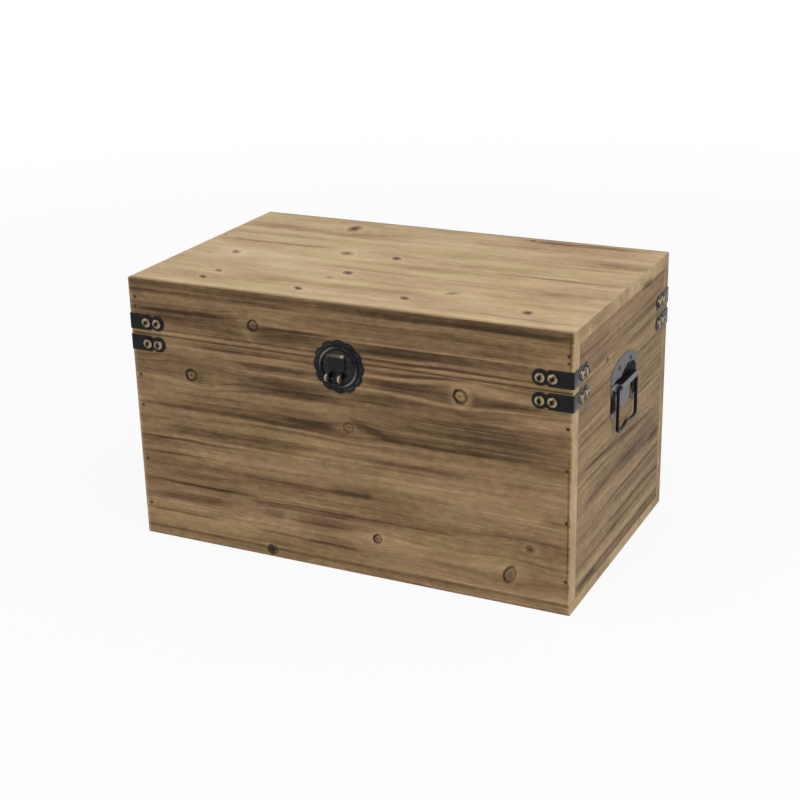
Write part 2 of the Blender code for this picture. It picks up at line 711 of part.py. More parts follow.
def handle(face):
    """A side handle: plate with barrel, two screws, and the bail hung in the barrel."""
    bm = bmesh.new()
    outline = [(along, HANDLE_Z + height) for along, height in handle_outline()]
    prism(bm, outline, GAP, HANDLE_FACE, flat)
    piece = solid("handle_plate_" + face, bm, "grey_iron", face)
    barrel = bmesh.new()
    half = BARREL_LENGTH / 2
    rod(barrel, 0.0, BAIL_STANDOFF, HANDLE_Z, -half, half, BARREL_RADIUS)
    shape(piece, barrel, "UNION", face)
    holes = bmesh.new()
    rod(holes, 0.0, BAIL_STANDOFF, HANDLE_Z, -half - TOOL_REACH, half + TOOL_REACH, BARREL_BORE)
    height = HANDLE_Z + HANDLE_SCREW_RISE
    places = [(side * HANDLE_SCREW_SPACING / 2, height) for side in (-1, 1)]
    shank_holes(holes, places)
    shape(piece, holes, "DIFFERENCE", face)
    for word, side in (("front", -1), ("back", 1)):
        name = "handle_screw_" + face + "_" + word
        along = side * HANDLE_SCREW_SPACING / 2
        size = (SCREW_HEAD_RADIUS, SCREW_HEAD_HEIGHT)
        fastener(name, "body", face, along, height, *size, HANDLE_FACE, None)
    frame = face_frame(face)
    axis = empty("bail_axis_" + face, frame @ Vector((0.0, -BAIL_STANDOFF, HANDLE_Z)))
    curve = bpy.data.curves.new("handle_bail_" + face, "CURVE")
    curve.dimensions = "3D"
    curve.bevel_depth = BAIL_BAR / 2
    curve.bevel_resolution = 2
    curve.use_fill_caps = True
    route = bail_route()
    spline = curve.splines.new("POLY")
    spline.points.add(len(route) - 1)
    for point, (along, rise) in zip(spline.points, route):
        point.co = (along, -BAIL_STANDOFF, HANDLE_Z + rise, 1.0)
    spline.use_smooth = True
    bail = bpy.data.objects.new("handle_bail_" + face, curve)
    bpy.context.collection.objects.link(bail)
    set_on_face(bail, face)
    finish(bail, "black_iron")
    hang(bail, axis)


def hinge_leaf_outline(is_lid):
    """Outline of a hinge leaf about the pin: tabs that reach the pin, and a notch round the other's."""
    half = HINGE_WIDTH / 2
    tab = HINGE_KNUCKLE / 2
    clear = HINGE_KNUCKLE_RADIUS + HINGE_NOTCH
    round_corner = arc((half - HINGE_CORNER, HINGE_LEAF - HINGE_CORNER), HINGE_CORNER, 0, 90, CORNER_STEPS)
    if is_lid:
        right = [(tab, 0.0), (tab, clear), (half, clear)] + round_corner
        return right + [(-a, b) for a, b in reversed(right)]
    inner = tab + GAP
    right = [(inner, clear), (inner, 0.0), (half, 0.0)] + round_corner
    upward = right + [(-a, b) for a, b in reversed(right)]
    return [(a, -b) for a, b in upward]


def hinge(word, side, lid_axis):
    """A butt hinge on the back: lid leaf, body leaf, pin and four screws."""
    centre = FACE_SENSE["back"] * side * HINGE_FROM_MIDDLE
    tab = HINGE_KNUCKLE / 2
    half = HINGE_WIDTH / 2
    leaves = (
        ("lid", True, 1, lid_axis, [(-tab, tab)]),
        ("body", False, -1, None, [(-half, -tab - GAP), (tab + GAP, half)]),
    )
    for level, is_lid, up, parent, spans in leaves:
        bm = bmesh.new()
        outline = [(centre + along, HINGE_Z + height) for along, height in hinge_leaf_outline(is_lid)]
        prism(bm, outline, GAP, GAP + HINGE_THICK, flat)
        piece = solid("hinge_leaf_" + level + "_" + word, bm, "black_iron", "back", parent)
        rolls = bmesh.new()
        for near, far in spans:
            rod(rolls, centre, HINGE_STANDOFF, HINGE_Z, near, far, HINGE_KNUCKLE_RADIUS)
        shape(piece, rolls, "UNION", "back")
        holes = bmesh.new()
        bore = HINGE_PIN_RADIUS + BORE_CLEARANCE
        rod(holes, centre, HINGE_STANDOFF, HINGE_Z, -HINGE_WIDTH, HINGE_WIDTH, bore)
        height = HINGE_Z + up * HINGE_SCREW_FROM_AXIS
        offsets = (-HINGE_SCREW_SPACING / 2, HINGE_SCREW_SPACING / 2)
        shank_holes(holes, [(centre + offset, height) for offset in offsets])
        shape(piece, holes, "DIFFERENCE", "back")
        for hand, offset in zip(("left", "right"), offsets):
            name = "hinge_screw_" + level + "_" + word + "_" + hand
            along = side * HINGE_FROM_MIDDLE + offset
            size = (SCREW_HEAD_RADIUS, SCREW_HEAD_HEIGHT)
            fastener(name, level, "back", along, height, *size, GAP + HINGE_THICK, parent)
    pin = bmesh.new()
    reach = half + HINGE_PIN_PROUD
    rod(pin, centre, HINGE_STANDOFF, HINGE_Z, -reach, reach, HINGE_PIN_RADIUS)
    solid("hinge_pin_" + word, pin, "worn_steel", "back")


def cut_pockets(walls, level):
    """Cuts every shank's pocket and every tang's slot from the walls of one level."""
    tool = POCKETS[level]
    for low, high in SLOTS[level]:
        block(tool, low, high)
    for index, wall in enumerate(walls):
        copy = tool.copy() if index < len(walls) - 1 else tool
        shape(wall, copy, "DIFFERENCE")


def build():
    """Makes the whole chest."""
    clear_scene()
    lid_axis = empty("lid_axis", (0.0, DEPTH / 2 + HINGE_STANDOFF, HINGE_Z))
    body_walls = ring_of_walls("body", BOTTOM_PANEL + GAP, SEAM)
    panel("body_bottom", 0.0, BOTTOM_PANEL, "burnt_pine")
    lid_walls = ring_of_walls("lid", SEAM + GAP, TOTAL_HEIGHT - TOP_PANEL - GAP, lid_axis)
    panel("lid_top", TOTAL_HEIGHT - TOP_PANEL, TOTAL_HEIGHT, "pale_pine", lid_axis)
    for side_x in (-1, 1):
        for side_y in (-1, 1):
            half = STRAP_HEIGHT / 2
            strap("lid", side_x, side_y, SEAM + STRAP_ABOVE_SEAM + half, lid_axis)
            strap("body", side_x, side_y, SEAM - STRAP_BELOW_SEAM - half, None)
    latch(lid_axis)
    handle("right")
    handle("left")
    hinge("left", -1, lid_axis)
    hinge("right", 1, lid_axis)
    cut_pockets(body_walls, "body")
    cut_pockets(lid_walls, "lid")


build()
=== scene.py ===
"""Looks of the wooden storage chest: burnt pine boards, black iron fittings, studio light.

The chest's own frame is in metres with +Z up and the latch on the -Y side. Wood is described in
millimetres on the face it shows on: along is the way the grain runs, across is square to it.
"""
import json
import math
import random

import bmesh
import bpy
from mathutils import Matrix, Vector
from mathutils.geometry import delaunay_2d_cdt


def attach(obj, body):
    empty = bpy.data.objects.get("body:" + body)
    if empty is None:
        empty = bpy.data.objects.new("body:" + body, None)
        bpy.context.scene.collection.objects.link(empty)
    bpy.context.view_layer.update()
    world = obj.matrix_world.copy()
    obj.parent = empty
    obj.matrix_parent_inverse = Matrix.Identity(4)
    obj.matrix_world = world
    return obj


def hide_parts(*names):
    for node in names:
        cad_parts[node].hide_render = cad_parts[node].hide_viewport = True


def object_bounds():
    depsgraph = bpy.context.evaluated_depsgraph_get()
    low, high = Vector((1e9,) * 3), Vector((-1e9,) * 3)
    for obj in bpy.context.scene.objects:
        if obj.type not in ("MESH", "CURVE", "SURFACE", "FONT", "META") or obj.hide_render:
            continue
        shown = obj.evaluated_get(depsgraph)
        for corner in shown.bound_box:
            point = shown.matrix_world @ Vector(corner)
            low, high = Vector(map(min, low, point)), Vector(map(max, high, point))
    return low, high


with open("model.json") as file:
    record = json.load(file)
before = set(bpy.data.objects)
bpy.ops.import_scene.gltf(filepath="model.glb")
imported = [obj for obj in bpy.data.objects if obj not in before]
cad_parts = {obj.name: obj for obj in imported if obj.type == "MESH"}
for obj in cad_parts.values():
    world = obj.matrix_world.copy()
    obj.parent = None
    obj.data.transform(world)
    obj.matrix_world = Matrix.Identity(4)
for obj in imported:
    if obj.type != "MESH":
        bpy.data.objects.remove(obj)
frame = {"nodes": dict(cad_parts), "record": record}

CAD_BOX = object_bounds()
SLOTS = {row["node"]: row["material_slot"] for row in frame["record"]["subparts"]}
MM = 1000.0

# Camera, fitted to the seven corners of the box that the photograph shows
CAMERA_LENS = 71.85
CAMERA_SENSOR = 36.0
CAMERA_AZIMUTH = 26.198
CAMERA_ELEVATION = 20.844
CAMERA_ROLL = -1.319
CAMERA_OFFSET = (0.00531, 0.006707, -1.763742)
CAMERA_TARGET = (0.0, 0.0, 0.148335)


# Shader graphs

class Value:
    """A socket of a shader graph, which adds, subtracts, multiplies and divides as a number does."""

    def __init__(self, graph, socket):
        self.graph = graph
        self.socket = socket

    def __add__(self, other):
        return self.graph.math("ADD", self, other)

    def __sub__(self, other):
        return self.graph.math("SUBTRACT", self, other)

    def __rsub__(self, other):
        return self.graph.math("SUBTRACT", other, self)

    def __mul__(self, other):
        return self.graph.math("MULTIPLY", self, other)

    def __truediv__(self, other):
        return self.graph.math("DIVIDE", self, other)

    def __neg__(self):
        return self * -1.0

    def __abs__(self):
        return self.graph.math("ABSOLUTE", self)

    __radd__ = __add__
    __rmul__ = __mul__


class Graph:
    """Adds and links the nodes of one material, world or node group."""

    def __init__(self, tree):
        self.tree = tree

    def add(self, kind, **settings):
        node = self.tree.nodes.new(kind)
        for name, value in settings.items():
            setattr(node, name, value)
        return node

    def outputs(self, node):
        return {socket.name: Value(self, socket) for socket in node.outputs}

    def plug(self, value, socket):
        """Links a value or a socket, or sets a plain number or colour."""
        if isinstance(value, Value):
            value = value.socket
        if isinstance(value, bpy.types.NodeSocket):
            self.tree.links.new(value, socket)
        else:
            socket.default_value = (*value, 1.0) if socket.type == "RGBA" else value

    def fill(self, node, values, output=0):
        """Plugs values into a node's inputs in order, and gives one of its outputs."""
        for value, socket in zip(values, node.inputs):
            self.plug(value, socket)
        return Value(self, node.outputs[output])

    def math(self, operation, *values, clamp=False):
        return self.fill(self.add("ShaderNodeMath", operation=operation, use_clamp=clamp), values)

    def vector(self, operation, *values, output=0):
        return self.fill(self.add("ShaderNodeVectorMath", operation=operation), values, output)

    def combine(self, x, y, z):
        return self.fill(self.add("ShaderNodeCombineXYZ"), (x, y, z))

    def split(self, value):
        node = self.add("ShaderNodeSeparateXYZ")
        self.plug(value, node.inputs[0])
        return list(self.outputs(node).values())

    def coordinates(self, kind):
        return self.outputs(self.add("ShaderNodeTexCoord"))[kind]

    def millimetres(self):
        """Where a point lies in the chest's frame, as x, y and z."""
        return self.split(self.vector("MULTIPLY", self.coordinates("Object"), (MM, MM, MM)))

    def largest(self, first, *others):
        for other in others:
            first = self.math("MAXIMUM", first, other)
        return first

    def noise(self, place, scale, detail, roughness=0.5):
        node = self.add("ShaderNodeTexNoise", noise_dimensions="3D", normalize=True)
        values = {"Vector": place, "Scale": scale, "Detail": detail, "Roughness": roughness}
        for name, value in values.items():
            self.plug(value, node.inputs[name])
        return self.outputs(node)["Fac"]

    def span(self, value, low, high, to_low=0.0, to_high=1.0):
        """Carries a value smoothly from one span of numbers to another."""
        node = self.add("ShaderNodeMapRange", interpolation_type="SMOOTHSTEP", clamp=True)
        return self.fill(node, (value, low, high, to_low, to_high))

    def mix(self, factor, first, second, blend="MIX"):
        node = self.add("ShaderNodeMix", data_type="RGBA", blend_type=blend, clamp_factor=True)
        self.plug(factor, node.inputs["Factor"])
        self.plug(first, node.inputs[6])
        self.plug(second, node.inputs[7])
        return Value(self, node.outputs[2])

    def ramp(self, value, stops):
        node = self.add("ShaderNodeValToRGB")
        band = node.color_ramp
        while len(band.elements) < len(stops):
            band.elements.new(0.5)
        for element, (position, *colour) in zip(band.elements, stops):
            element.position = position
            element.color = (*srgb(*colour), 1.0)
        return self.fill(node, (value,))

    def bump(self, height, strength, distance, shader):
        """Roughens a shader's surface by a height."""
        node = self.add("ShaderNodeBump")
        for name, value in {"Strength": strength, "Distance": distance, "Height": height}.items():
            self.plug(value, node.inputs[name])
        self.plug(node.outputs[0], shader.inputs["Normal"])

    def seen(self):
        """1 for rays from the camera, from mirrors and through glass, 0 for light."""
        path = self.outputs(self.add("ShaderNodeLightPath"))
        return self.largest(*(path["Is " + kind + " Ray"] for kind in ("Camera", "Glossy", "Transmission")))


def srgb(red, green, blue):
    """A colour from 0 to 255 as light values."""
    shares = [channel / 255 for channel in (red, green, blue)]
    return [share / 12.92 if share <= 0.04045 else ((share + 0.055) / 1.055) ** 2.4 for share in shares]


def new_material(name):
    """A new node material, its graph and its shader."""
    material = bpy.data.materials.new(name)
    material.use_nodes = True
    return material, Graph(material.node_tree), material.node_tree.nodes["Principled BSDF"]


SOCKET_KINDS = {"Place": "NodeSocketVector", "Colour": "NodeSocketColor"}


def group(name, inputs, outputs):
    """A node group from the labels of its inputs and outputs: its tree, graph, inputs and outputs."""
    tree = bpy.data.node_groups.new(name, "ShaderNodeTree")
    for way, labels in (("INPUT", inputs), ("OUTPUT", outputs)):
        for label in labels:
            kind = SOCKET_KINDS.get(label, "NodeSocketFloat")
            tree.interface.new_socket(label, in_out=way, socket_type=kind)
    graph = Graph(tree)
    return tree, graph, graph.outputs(graph.add("NodeGroupInput")), graph.add("NodeGroupOutput").inputs


def use_group(graph, tree, values=()):
    """Adds one use of a node group, fills its inputs by label and gives its outputs."""
    node = graph.add("ShaderNodeGroup", node_tree=tree)
    for label, value in dict(values).items():
        graph.plug(value, node.inputs[label])
    return graph.outputs(node)


# Wood

STREAK_LABELS = ("Along", "Across", "Length", "Up", "Down", "Strength", "Slope")
KNOT_LABELS = ("Along", "Across", "Radius", "Tall", "Tilt", "Core", "Rim", "Halo")
# Grain: scale along and across, shift of the noise, detail, roughness
GRAIN_LAYERS = {
    "Bands": (0.0026, 0.060, 1.3, 2.0, 0.5),
    "Lines": (0.0030, 0.250, 4.7, 3.0, 0.62),
    "Clouds": (0.011, 0.045, 15.3, 3.0, 0.58),
    "Fibre": (0.020, 1.100, 19.9, 3.0, 0.60),
    "Flecks": (0.110, 2.600, 23.1, 2.0, 0.60),
    "Mottle": (0.090, 0.200, 27.7, 3.0, 0.65),
    "Hue": (0.006, 0.028, 31.9, 1.0, 0.50),
}
YEAR_HEIGHT = (0.0016, 0.030, 8.1, 1.5, 0.5)
YEAR_PATCHES = (0.008, 0.05, 12.9, 2.0, 0.5)
YEARS = 13.0
YEAR_POWER = 3.5
YEAR_EDGE = (1.0, 0.90)
YEAR_SHOWN = (0.35, 0.65)
# Waves of the grain and of the edges of its marks: scale along and across, shift of the noise, size
GRAIN_WAVES = ((0.0035, 0.010, 0.2, 8.0), (0.016, 0.05, 3.4, 1.8))
KNOT_WAVE = (0.16, 0.18, 6.1, 0.50)
STREAK_WAVE = (0.014, 0.05, 3.4, 3.2)
STREAK_BEND = 0.8
# Streaks are weaker or stronger with the noise of lines and clouds: from, to, and the strength at each
STREAK_ON_LINES = (0.66, 0.34, 0.84, 1.20)
STREAK_ON_CLOUDS = (0.68, 0.34, 0.88, 1.18)
# Parts of a knot, in shares of its radius: where each begins to show and where it is full
KNOT_CORE = (1.0, 0.35)
KNOT_RIM = 0.92
KNOT_RIM_FADE = (0.40, 0.06)
KNOT_PITH = (0.26, 0.08)
KNOT_HALO = (2.4, 1.1)
PITH_SHARE = 0.8
# The rim is darker on the left: from, to, and the darkness at each
KNOT_LEAN = (-0.9, 0.9, 1.22, 0.72)
# The grain bends round a knot: how far along and across in radii, and how much
KNOT_BEND = (6.0, 2.4, 0.72)
KNOT_SHADE = -0.10
KNOT_COVER = 1.2
HALO_LIFT = 0.20
DOT_CORE = 0.3
HUE_SPAN = (0.35, 0.65)
# Layers of a sawn end: scale along Y and Z, detail, roughness, and how far it swings the tone
END_LAYERS = ((0.022, 0.022, 3.0, 0.55, 0.95), (0.12, 0.07, 2.0, 0.6, 0.60), (0.9, 0.9, 2.0, 0.6, 0.45))
END_ALONG = 0.002
END_BASE = 0.64
# Its ring arcs: how far the first layer bends them, how close they lie, and how far they swing the tone
END_ARCS = (60.0, 1.4, 0.035)
# How far each layer swings the tone of burnt and of pale wood
BURNT_SHARES = {"Bands": 0.38, "Lines": 0.58, "Clouds": 0.42, "Fibre": 0.36, "Flecks": 0.30, "Mottle": 0.44,
                "Rings": -0.15}
PALE_SHARES = {"Bands": 0.38, "Lines": 0.18, "Clouds": 0.64, "Fibre": 0.16, "Flecks": 0.10, "Mottle": 0.34,
               "Rings": -0.03}
BURNT_KNOT = (0.034, 0.019, 0.012)
PALE_KNOT = (0.088, 0.045, 0.031)
OCHRE = (1.005, 0.997, 0.945)
ROSE = (1.02, 0.984, 0.990)
# Tones from dark to pale: position, then red, green and blue up to 255
BURNT_TONES = [(0.00, 64, 49, 35), (0.15, 79, 61, 43), (0.30, 95, 75, 53), (0.50, 119, 96, 70),
               (0.70, 142, 118, 87), (0.85, 160, 135, 102), (1.00, 181, 156, 121)]
# SIDE_TONES, for the side faces, are the burnt tones with a lighter, bluer cast that is painted light
# falling on the sides
SIDE_TONES = [(0.00, 76, 60, 44), (0.15, 89, 71, 53), (0.30, 103, 83, 63), (0.50, 122, 100, 76),
              (0.70, 143, 120, 91), (0.85, 161, 137, 105), (1.00, 182, 158, 124)]
PALE_TONES = [(0.00, 86, 62, 46), (0.25, 137, 112, 82), (0.45, 167, 142, 108), (0.65, 187, 164, 128),
              (1.00, 210, 194, 158)]
END_TONES = [(0.00, 104, 84, 60), (0.35, 150, 127, 94), (0.65, 176, 153, 117), (1.00, 202, 181, 146)]
RAW_TONES = [(0.00, 120, 92, 64), (0.40, 176, 146, 106), (0.70, 198, 170, 128), (1.00, 214, 190, 150)]

# Knots: along, across, radius, height to width, tilt, darkness of core, of rim, pale halo
FRONT_KNOTS = [
    (-98.7, 261.3, 5.9, 1, 0, 0, 0.82, 0.4), (-178.2, 196.3, 6.4, 1, 0, 0.12, 0.88, 0.3),
    (133.3, 217, 7.2, 1, 0, 0, 0.75, 0.9), (8.3, 165.3, 5.6, 1, 0, 0.08, 0.42, 0.3),
    (38.3, 45.3, 4.8, 1, 0, 0.45, 0.75, 0.3), (185.7, 33.7, 6, 1.5, -0.25, 0.4, 0.6, 0.3),
    (208, 65.7, 4.6, 0.9, 0, 0.6, 0.4, 0.6), (-89.3, 8.3, 5.8, 0.9, 0, 0.9, 0.85, 0.1),
]
TOP_KNOTS = [
    (-115.5, 114.3, 7.5, 1.6, 0.1, 0.85, 0.4, 0.2), (-74.5, 16.7, 7.5, 1.05, 0.3, 0.6, 0.3, 0.4),
    (-14.5, 17.7, 5.2, 1.2, 0.3, 0.98, 0.45, 0.4), (-193.2, -22.3, 5.6, 1.2, 0.4, 0.65, 0.3, 0.4),
    (-38.2, -50.7, 5.8, 1, 0.3, 0.98, 0.45, 0.4), (-172, -93, 4.6, 1, 0.5, 0.7, 0.3, 0.3),
    (-175, -119.3, 4.6, 1.2, 0.6, 0.92, 0.4, 0.3), (-60.7, -119, 4.7, 1.2, 0.6, 0.92, 0.4, 0.3),
    (56.3, -110, 5.2, 1, 0.5, 0.92, 0.4, 0.3), (187.3, -109, 5.6, 1, 0.2, 0.95, 0.45, 0.3),
    (94, -78, 6.2, 1, -0.4, 0.5, 0.25, 0.2), (-48.5, -73.3, 5, 1, 0.2, 0.32, 0.15, 0.2),
]
RIGHT_KNOTS = [(-51, 239, 4, 0.7, 0, 0.7, 0.6, 0.2)]
# Burn streaks: middle along and across, half length, how far up and down, strength, slope
FRONT_STREAKS = [
    (0, 195, 300, 42, 42, 0.07), (130, 172, 110, 22, 22, 0.06), (150, 108, 110, 22, 28, -0.09),
    (-150, 30, 110, 20, 20, -0.07), (-182, 22, 75, 9, 9, -0.12), (105, 33, 90, 22, 22, -0.12),
    (-150, 285, 110, 1.8, 2.2, 0.18), (-232, 285, 25, 1.5, 2, 0.16), (-85, 285, 30, 1.5, 2, 0.12),
    (110, 288.5, 108, 4, 1.8, 0.3), (110, 270, 130, 9, 9, 0.09), (130, 276, 75, 4.5, 5, 0.16),
    (175, 264, 30, 3, 3, 0.14), (-150, 264, 112, 17, 17, 0.1), (-182, 259, 66, 8.5, 8.5, 0.17),
    (-186, 265.8, 60, 1.3, 3, 0.25), (-180, 269.2, 72, 0.9, 0.9, -0.12), (-112, 260, 14, 5, 5, -0.1, -1.1),
    (-58, 260, 42, 1.8, 6, 0.32), (-60, 252, 45, 3, 3, 0.12), (110, 254, 92, 3.2, 5.5, 0.36),
    (110, 258.4, 95, 0.8, 0.8, -0.12), (60, 250, 50, 2.5, 2.5, 0.14), (105, 241, 72, 1.8, 1.4, 0.28),
    (-95, 228.8, 82, 1.5, 1.5, 0.36), (-120, 231.8, 60, 1.2, 1.2, 0.12), (80, 228.8, 55, 2, 1.8, 0.4),
    (185, 230, 35, 1.5, 1.5, 0.18), (-85, 221.5, 60, 1.6, 1.6, -0.08), (-72, 216, 46, 3.2, 2.6, 0.28),
    (75, 221.5, 48, 1.8, 1.6, 0.26), (78, 216, 50, 4.5, 4.5, 0.42), (180, 215, 34, 4, 4, 0.4),
    (50, 209.8, 190, 1.2, 1, -0.14), (-65, 197, 55, 7, 7, 0.25), (-48, 192, 40, 3, 3, 0.12),
    (72, 201, 66, 4.5, 4.5, 0.28), (40, 198, 30, 4, 4, 0.14), (165, 200, 34, 3.5, 3.5, 0.3),
    (110, 205, 90, 3, 3, 0.1), (-170, 193.5, 6.5, 4.5, 4.5, 0.16), (-128, 186, 40, 1.2, 1.2, 0.14, 0.1),
    (-130, 193, 36, 1.1, 1.1, 0.12, 0.12), (-88, 175, 72, 7, 7, 0.07), (-100, 160, 110, 5, 4, 0.28),
    (-38, 163, 26, 3, 3, 0.26), (-75, 156.5, 55, 2.2, 1.6, 0.16), (-205, 159, 40, 4, 3.5, 0.14),
    (-60, 152.3, 190, 1, 1, -0.16), (135, 178, 84, 8, 8, 0.16), (38, 164, 28, 3, 3, 0.26, -0.22),
    (130, 159, 86, 7, 2.8, 0.34), (110, 150.5, 120, 1, 1, -0.12), (-160, 147, 45, 1.5, 1.5, 0.16),
    (95, 146.5, 65, 1.6, 1.6, 0.16), (-172, 131, 42, 5.5, 4, 0.34), (-88, 131, 45, 6, 6, 0.2),
    (-190, 119, 60, 1.2, 1.2, 0.28), (-130, 122, 120, 1, 1, -0.12), (85, 130, 55, 5, 4.5, 0.24),
    (88, 133.5, 14, 1.5, 1.5, 0.14), (-205, 101.5, 38, 1.6, 1.8, 0.2), (-85, 102, 70, 1.6, 1.6, 0.12),
    (-120, 92, 130, 3, 4.5, 0.16), (10, 92, 26, 4, 3.5, 0.24), (238, 97, 18, 3.5, 3, 0.24),
    (-180, 79, 45, 4, 4, 0.16), (-185, 67.3, 52, 1.3, 1.3, 0.36), (-128, 68.2, 25, 1.2, 1.2, 0.18),
    (-45, 64, 62, 2, 4.5, 0.34, 0.02), (-55, 70.3, 60, 1, 1, -0.14, 0.02), (60, 65, 65, 2.2, 2, 0.2),
    (185, 72, 75, 1.5, 1.5, 0.18), (-188, 52, 38, 4, 4.5, 0.32), (-130, 53, 40, 1.6, 1.6, 0.14),
    (-85, 51, 12, 4.5, 5, 0.2), (-28, 50, 30, 6, 6.5, 0.24), (-215, 41, 45, 3, 2.5, -0.1),
    (-200, 32, 48, 1.6, 1.6, 0.2), (-80, 28.8, 28, 1.5, 1.5, 0.18), (-15, 27.2, 32, 1.6, 1.6, 0.3),
    (145, 30, 40, 2.5, 2.5, 0.14),
]
TOP_STREAKS = [
    (-155, 92, 85, 9, 8, 0.18), (-165, 58, 45, 2.5, 2.5, 0.08), (-165, 26, 68, 4.5, 2.6, 0.24),
    (165, 136, 76, 6, 4.5, 0.34), (160, 116, 100, 14, 12, 0.12), (225, 76, 44, 12, 12, 0.18),
    (222, 52, 38, 2, 2, 0.16), (180, 3.5, 72, 3.4, 3, 0.26), (100, 16, 100, 3, 3, 0.08),
    (220, -14, 26, 1.6, 1.6, 0.14), (200, -46, 45, 13, 12, 0.12), (-20, -97, 95, 7, 7, 0.13),
    (190, -128, 70, 2.5, 2.5, 0.1), (40, -43, 110, 3, 3, -0.09), (-205, 50, 35, 5, 5, -0.09),
    (-110, -140, 140, 5, 5, -0.06), (-193, -26, 24, 14, 14, -0.1), (-72, 26, 26, 14, 14, -0.09),
    (-150, -50, 110, 45, 45, -0.06), (70, 10, 100, 50, 50, 0.05),
]
RIGHT_STREAKS = [
    (-100, 266.5, 45, 1.6, 1.6, 0.18), (20, 260, 120, 1.5, 1.5, 0.26, 0.012), (60, 251, 55, 3, 3, 0.22),
    (-78, 247, 28, 4, 3.5, 0.18), (60, 238, 55, 1.4, 1.4, 0.26), (50, 234, 35, 2.5, 2.5, 0.16),
    (-75, 216, 35, 1.6, 1.6, 0.22), (85, 213.8, 40, 1.5, 1.5, 0.36), (-122, 208, 14, 1.3, 1.3, 0.18),
    (92, 203, 35, 3, 3, 0.16), (-95, 192, 40, 2.2, 2.2, 0.18), (-90, 183, 42, 2.5, 2.5, 0.16),
    (-90, 175, 50, 1.3, 1.3, 0.34), (85, 166.5, 28, 1.5, 1.5, 0.36), (-78, 149, 42, 1.5, 1.5, 0.24),
    (-10, 137, 112, 2.2, 2.4, 0.38, -0.065), (30, 131, 80, 1.8, 1.8, 0.2, -0.05),
    (-80, 129.5, 38, 2, 2, 0.22), (70, 104, 68, 7, 9, 0.28), (-75, 105, 40, 3.5, 3.5, 0.18),
    (-20, 110, 60, 4, 4, 0.16), (112, 98, 16, 6, 6, 0.18), (58, 79.5, 85, 1.6, 1.6, 0.5, 0.006),
    (-58, 77.5, 45, 1.4, 1.4, 0.2), (55, 70, 78, 3.5, 3.5, 0.14), (45, 54, 62, 1.6, 1.6, 0.48),
    (122, 52, 18, 1.5, 1.5, 0.42), (-65, 55.5, 50, 1.5, 1.5, 0.24), (0, 41.5, 150, 1.8, 1.8, 0.18),
    (-12, 41.5, 20, 1.6, 1.6, 0.14), (0, 31, 160, 5, 5, -0.2), (10, 117, 140, 12, 10, 0.1),
    (-106, 20, 30, 2.8, 2.8, 0.52), (35, 22, 110, 1.6, 1.6, 0.3), (40, 16, 110, 3, 3.5, 0.18),
]
# Lines that run straight along the joints and edges of the boards, and stains on the sawn ends
FRONT_STRAIGHT = [
    (0, 294.5, 600, 2, 8, 0.24), (0, 242.6, 600, 0.9, 0.9, 0.24), (0, 239.6, 600, 0.9, 0.9, -0.12),
    (0, 236.2, 600, 0.9, 0.9, 0.4), (0, 10.5, 600, 1.4, 1.6, 0.26), (0, 13.8, 600, 1, 1, -0.08),
    (0, 3.5, 600, 1.5, 2.5, -0.03), (246.8, 95, 1.1, 60, 60, 0.28), (246.8, 272, 1.1, 20, 20, 0.28),
    (250, 150, 2.4, 400, 400, -0.24), (-249.5, 120, 3, 400, 400, -0.2),
]
TOP_STRAIGHT = [(0, 148, 600, 4, 3.5, 0.18), (0, -149, 600, 3, 2, 0.3)]
RIGHT_STRAIGHT = [
    (-75, 240, 60, 1.3, 1.3, -0.14), (0, 236.2, 600, 0.9, 0.9, 0.2), (74, 281, 14, 1.8, 2.5, 0.4),
]
END_STAINS = [
    (-80, 292, 60, 5, 7, 0.24), (74, 284, 13, 2, 3, 0.45), (146, 120, 13, 200, 150, 0.32),
    (146, 262, 13, 26, 28, 0.16), (-60, 5, 40, 5, 5, 0.12),
]
# Brads and specks: along, across, radius, darkness
FRONT_DOTS = [
    (-243, 276, 2.6, 0.8), (-243, 265.7, 2.3, 0.7), (-243, 188.7, 2.6, 0.8), (-243, 153.3, 2.4, 0.8),
    (-243, 90.3, 2.6, 0.8), (-243, 37.3, 2.4, 0.8), (245, 273, 2.8, 0.8), (245, 265.7, 2.6, 0.7),
    (245, 199.7, 2.8, 0.9), (245, 155.8, 2.6, 0.8), (245, 101, 2.8, 0.8), (245, 37.3, 2.6, 0.8),
]
TOP_DOTS = [
    (-243, 37, 3, 0.5), (96, 139, 4, 0.8), (-12, -5, 1.8, 0.5), (-5, -9, 1.8, 0.45), (-8, -3, 1.4, 0.35),
    (-216, 78, 1.6, 0.25),
]
# The edges of the lid's top and of the bottom carry only what the front has above and below these heights
RAIL_HIGH = 270
RAIL_LOW = 25
RAIL_KNOTS = [knot for knot in FRONT_KNOTS if not RAIL_LOW < knot[1] < RAIL_HIGH]
RAIL_STREAKS = [streak for streak in FRONT_STREAKS if not RAIL_LOW < streak[1] < RAIL_HIGH]


def streak_group():
    """A soft lens of darker wood that lies along the grain, and adds to the burn so far."""
    labels = ("Place", *STREAK_LABELS, "Burn in")
    tree, graph, given, result = group("burn_streak", labels, ("Burn",))
    along, across, _ = graph.split(given["Place"])
    offset = along - given["Along"]
    rise = across - given["Across"] - offset * given["Slope"]
    u = offset / given["Length"]
    v = graph.largest(rise / given["Up"], -rise / given["Down"])
    u_square = u * u
    v_square = v * v
    fall = graph.math("EXPONENT", -(u_square * u_square + v_square * v_square * 0.65))
    graph.plug(fall * given["Strength"] + given["Burn in"], result["Burn"])
    return tree


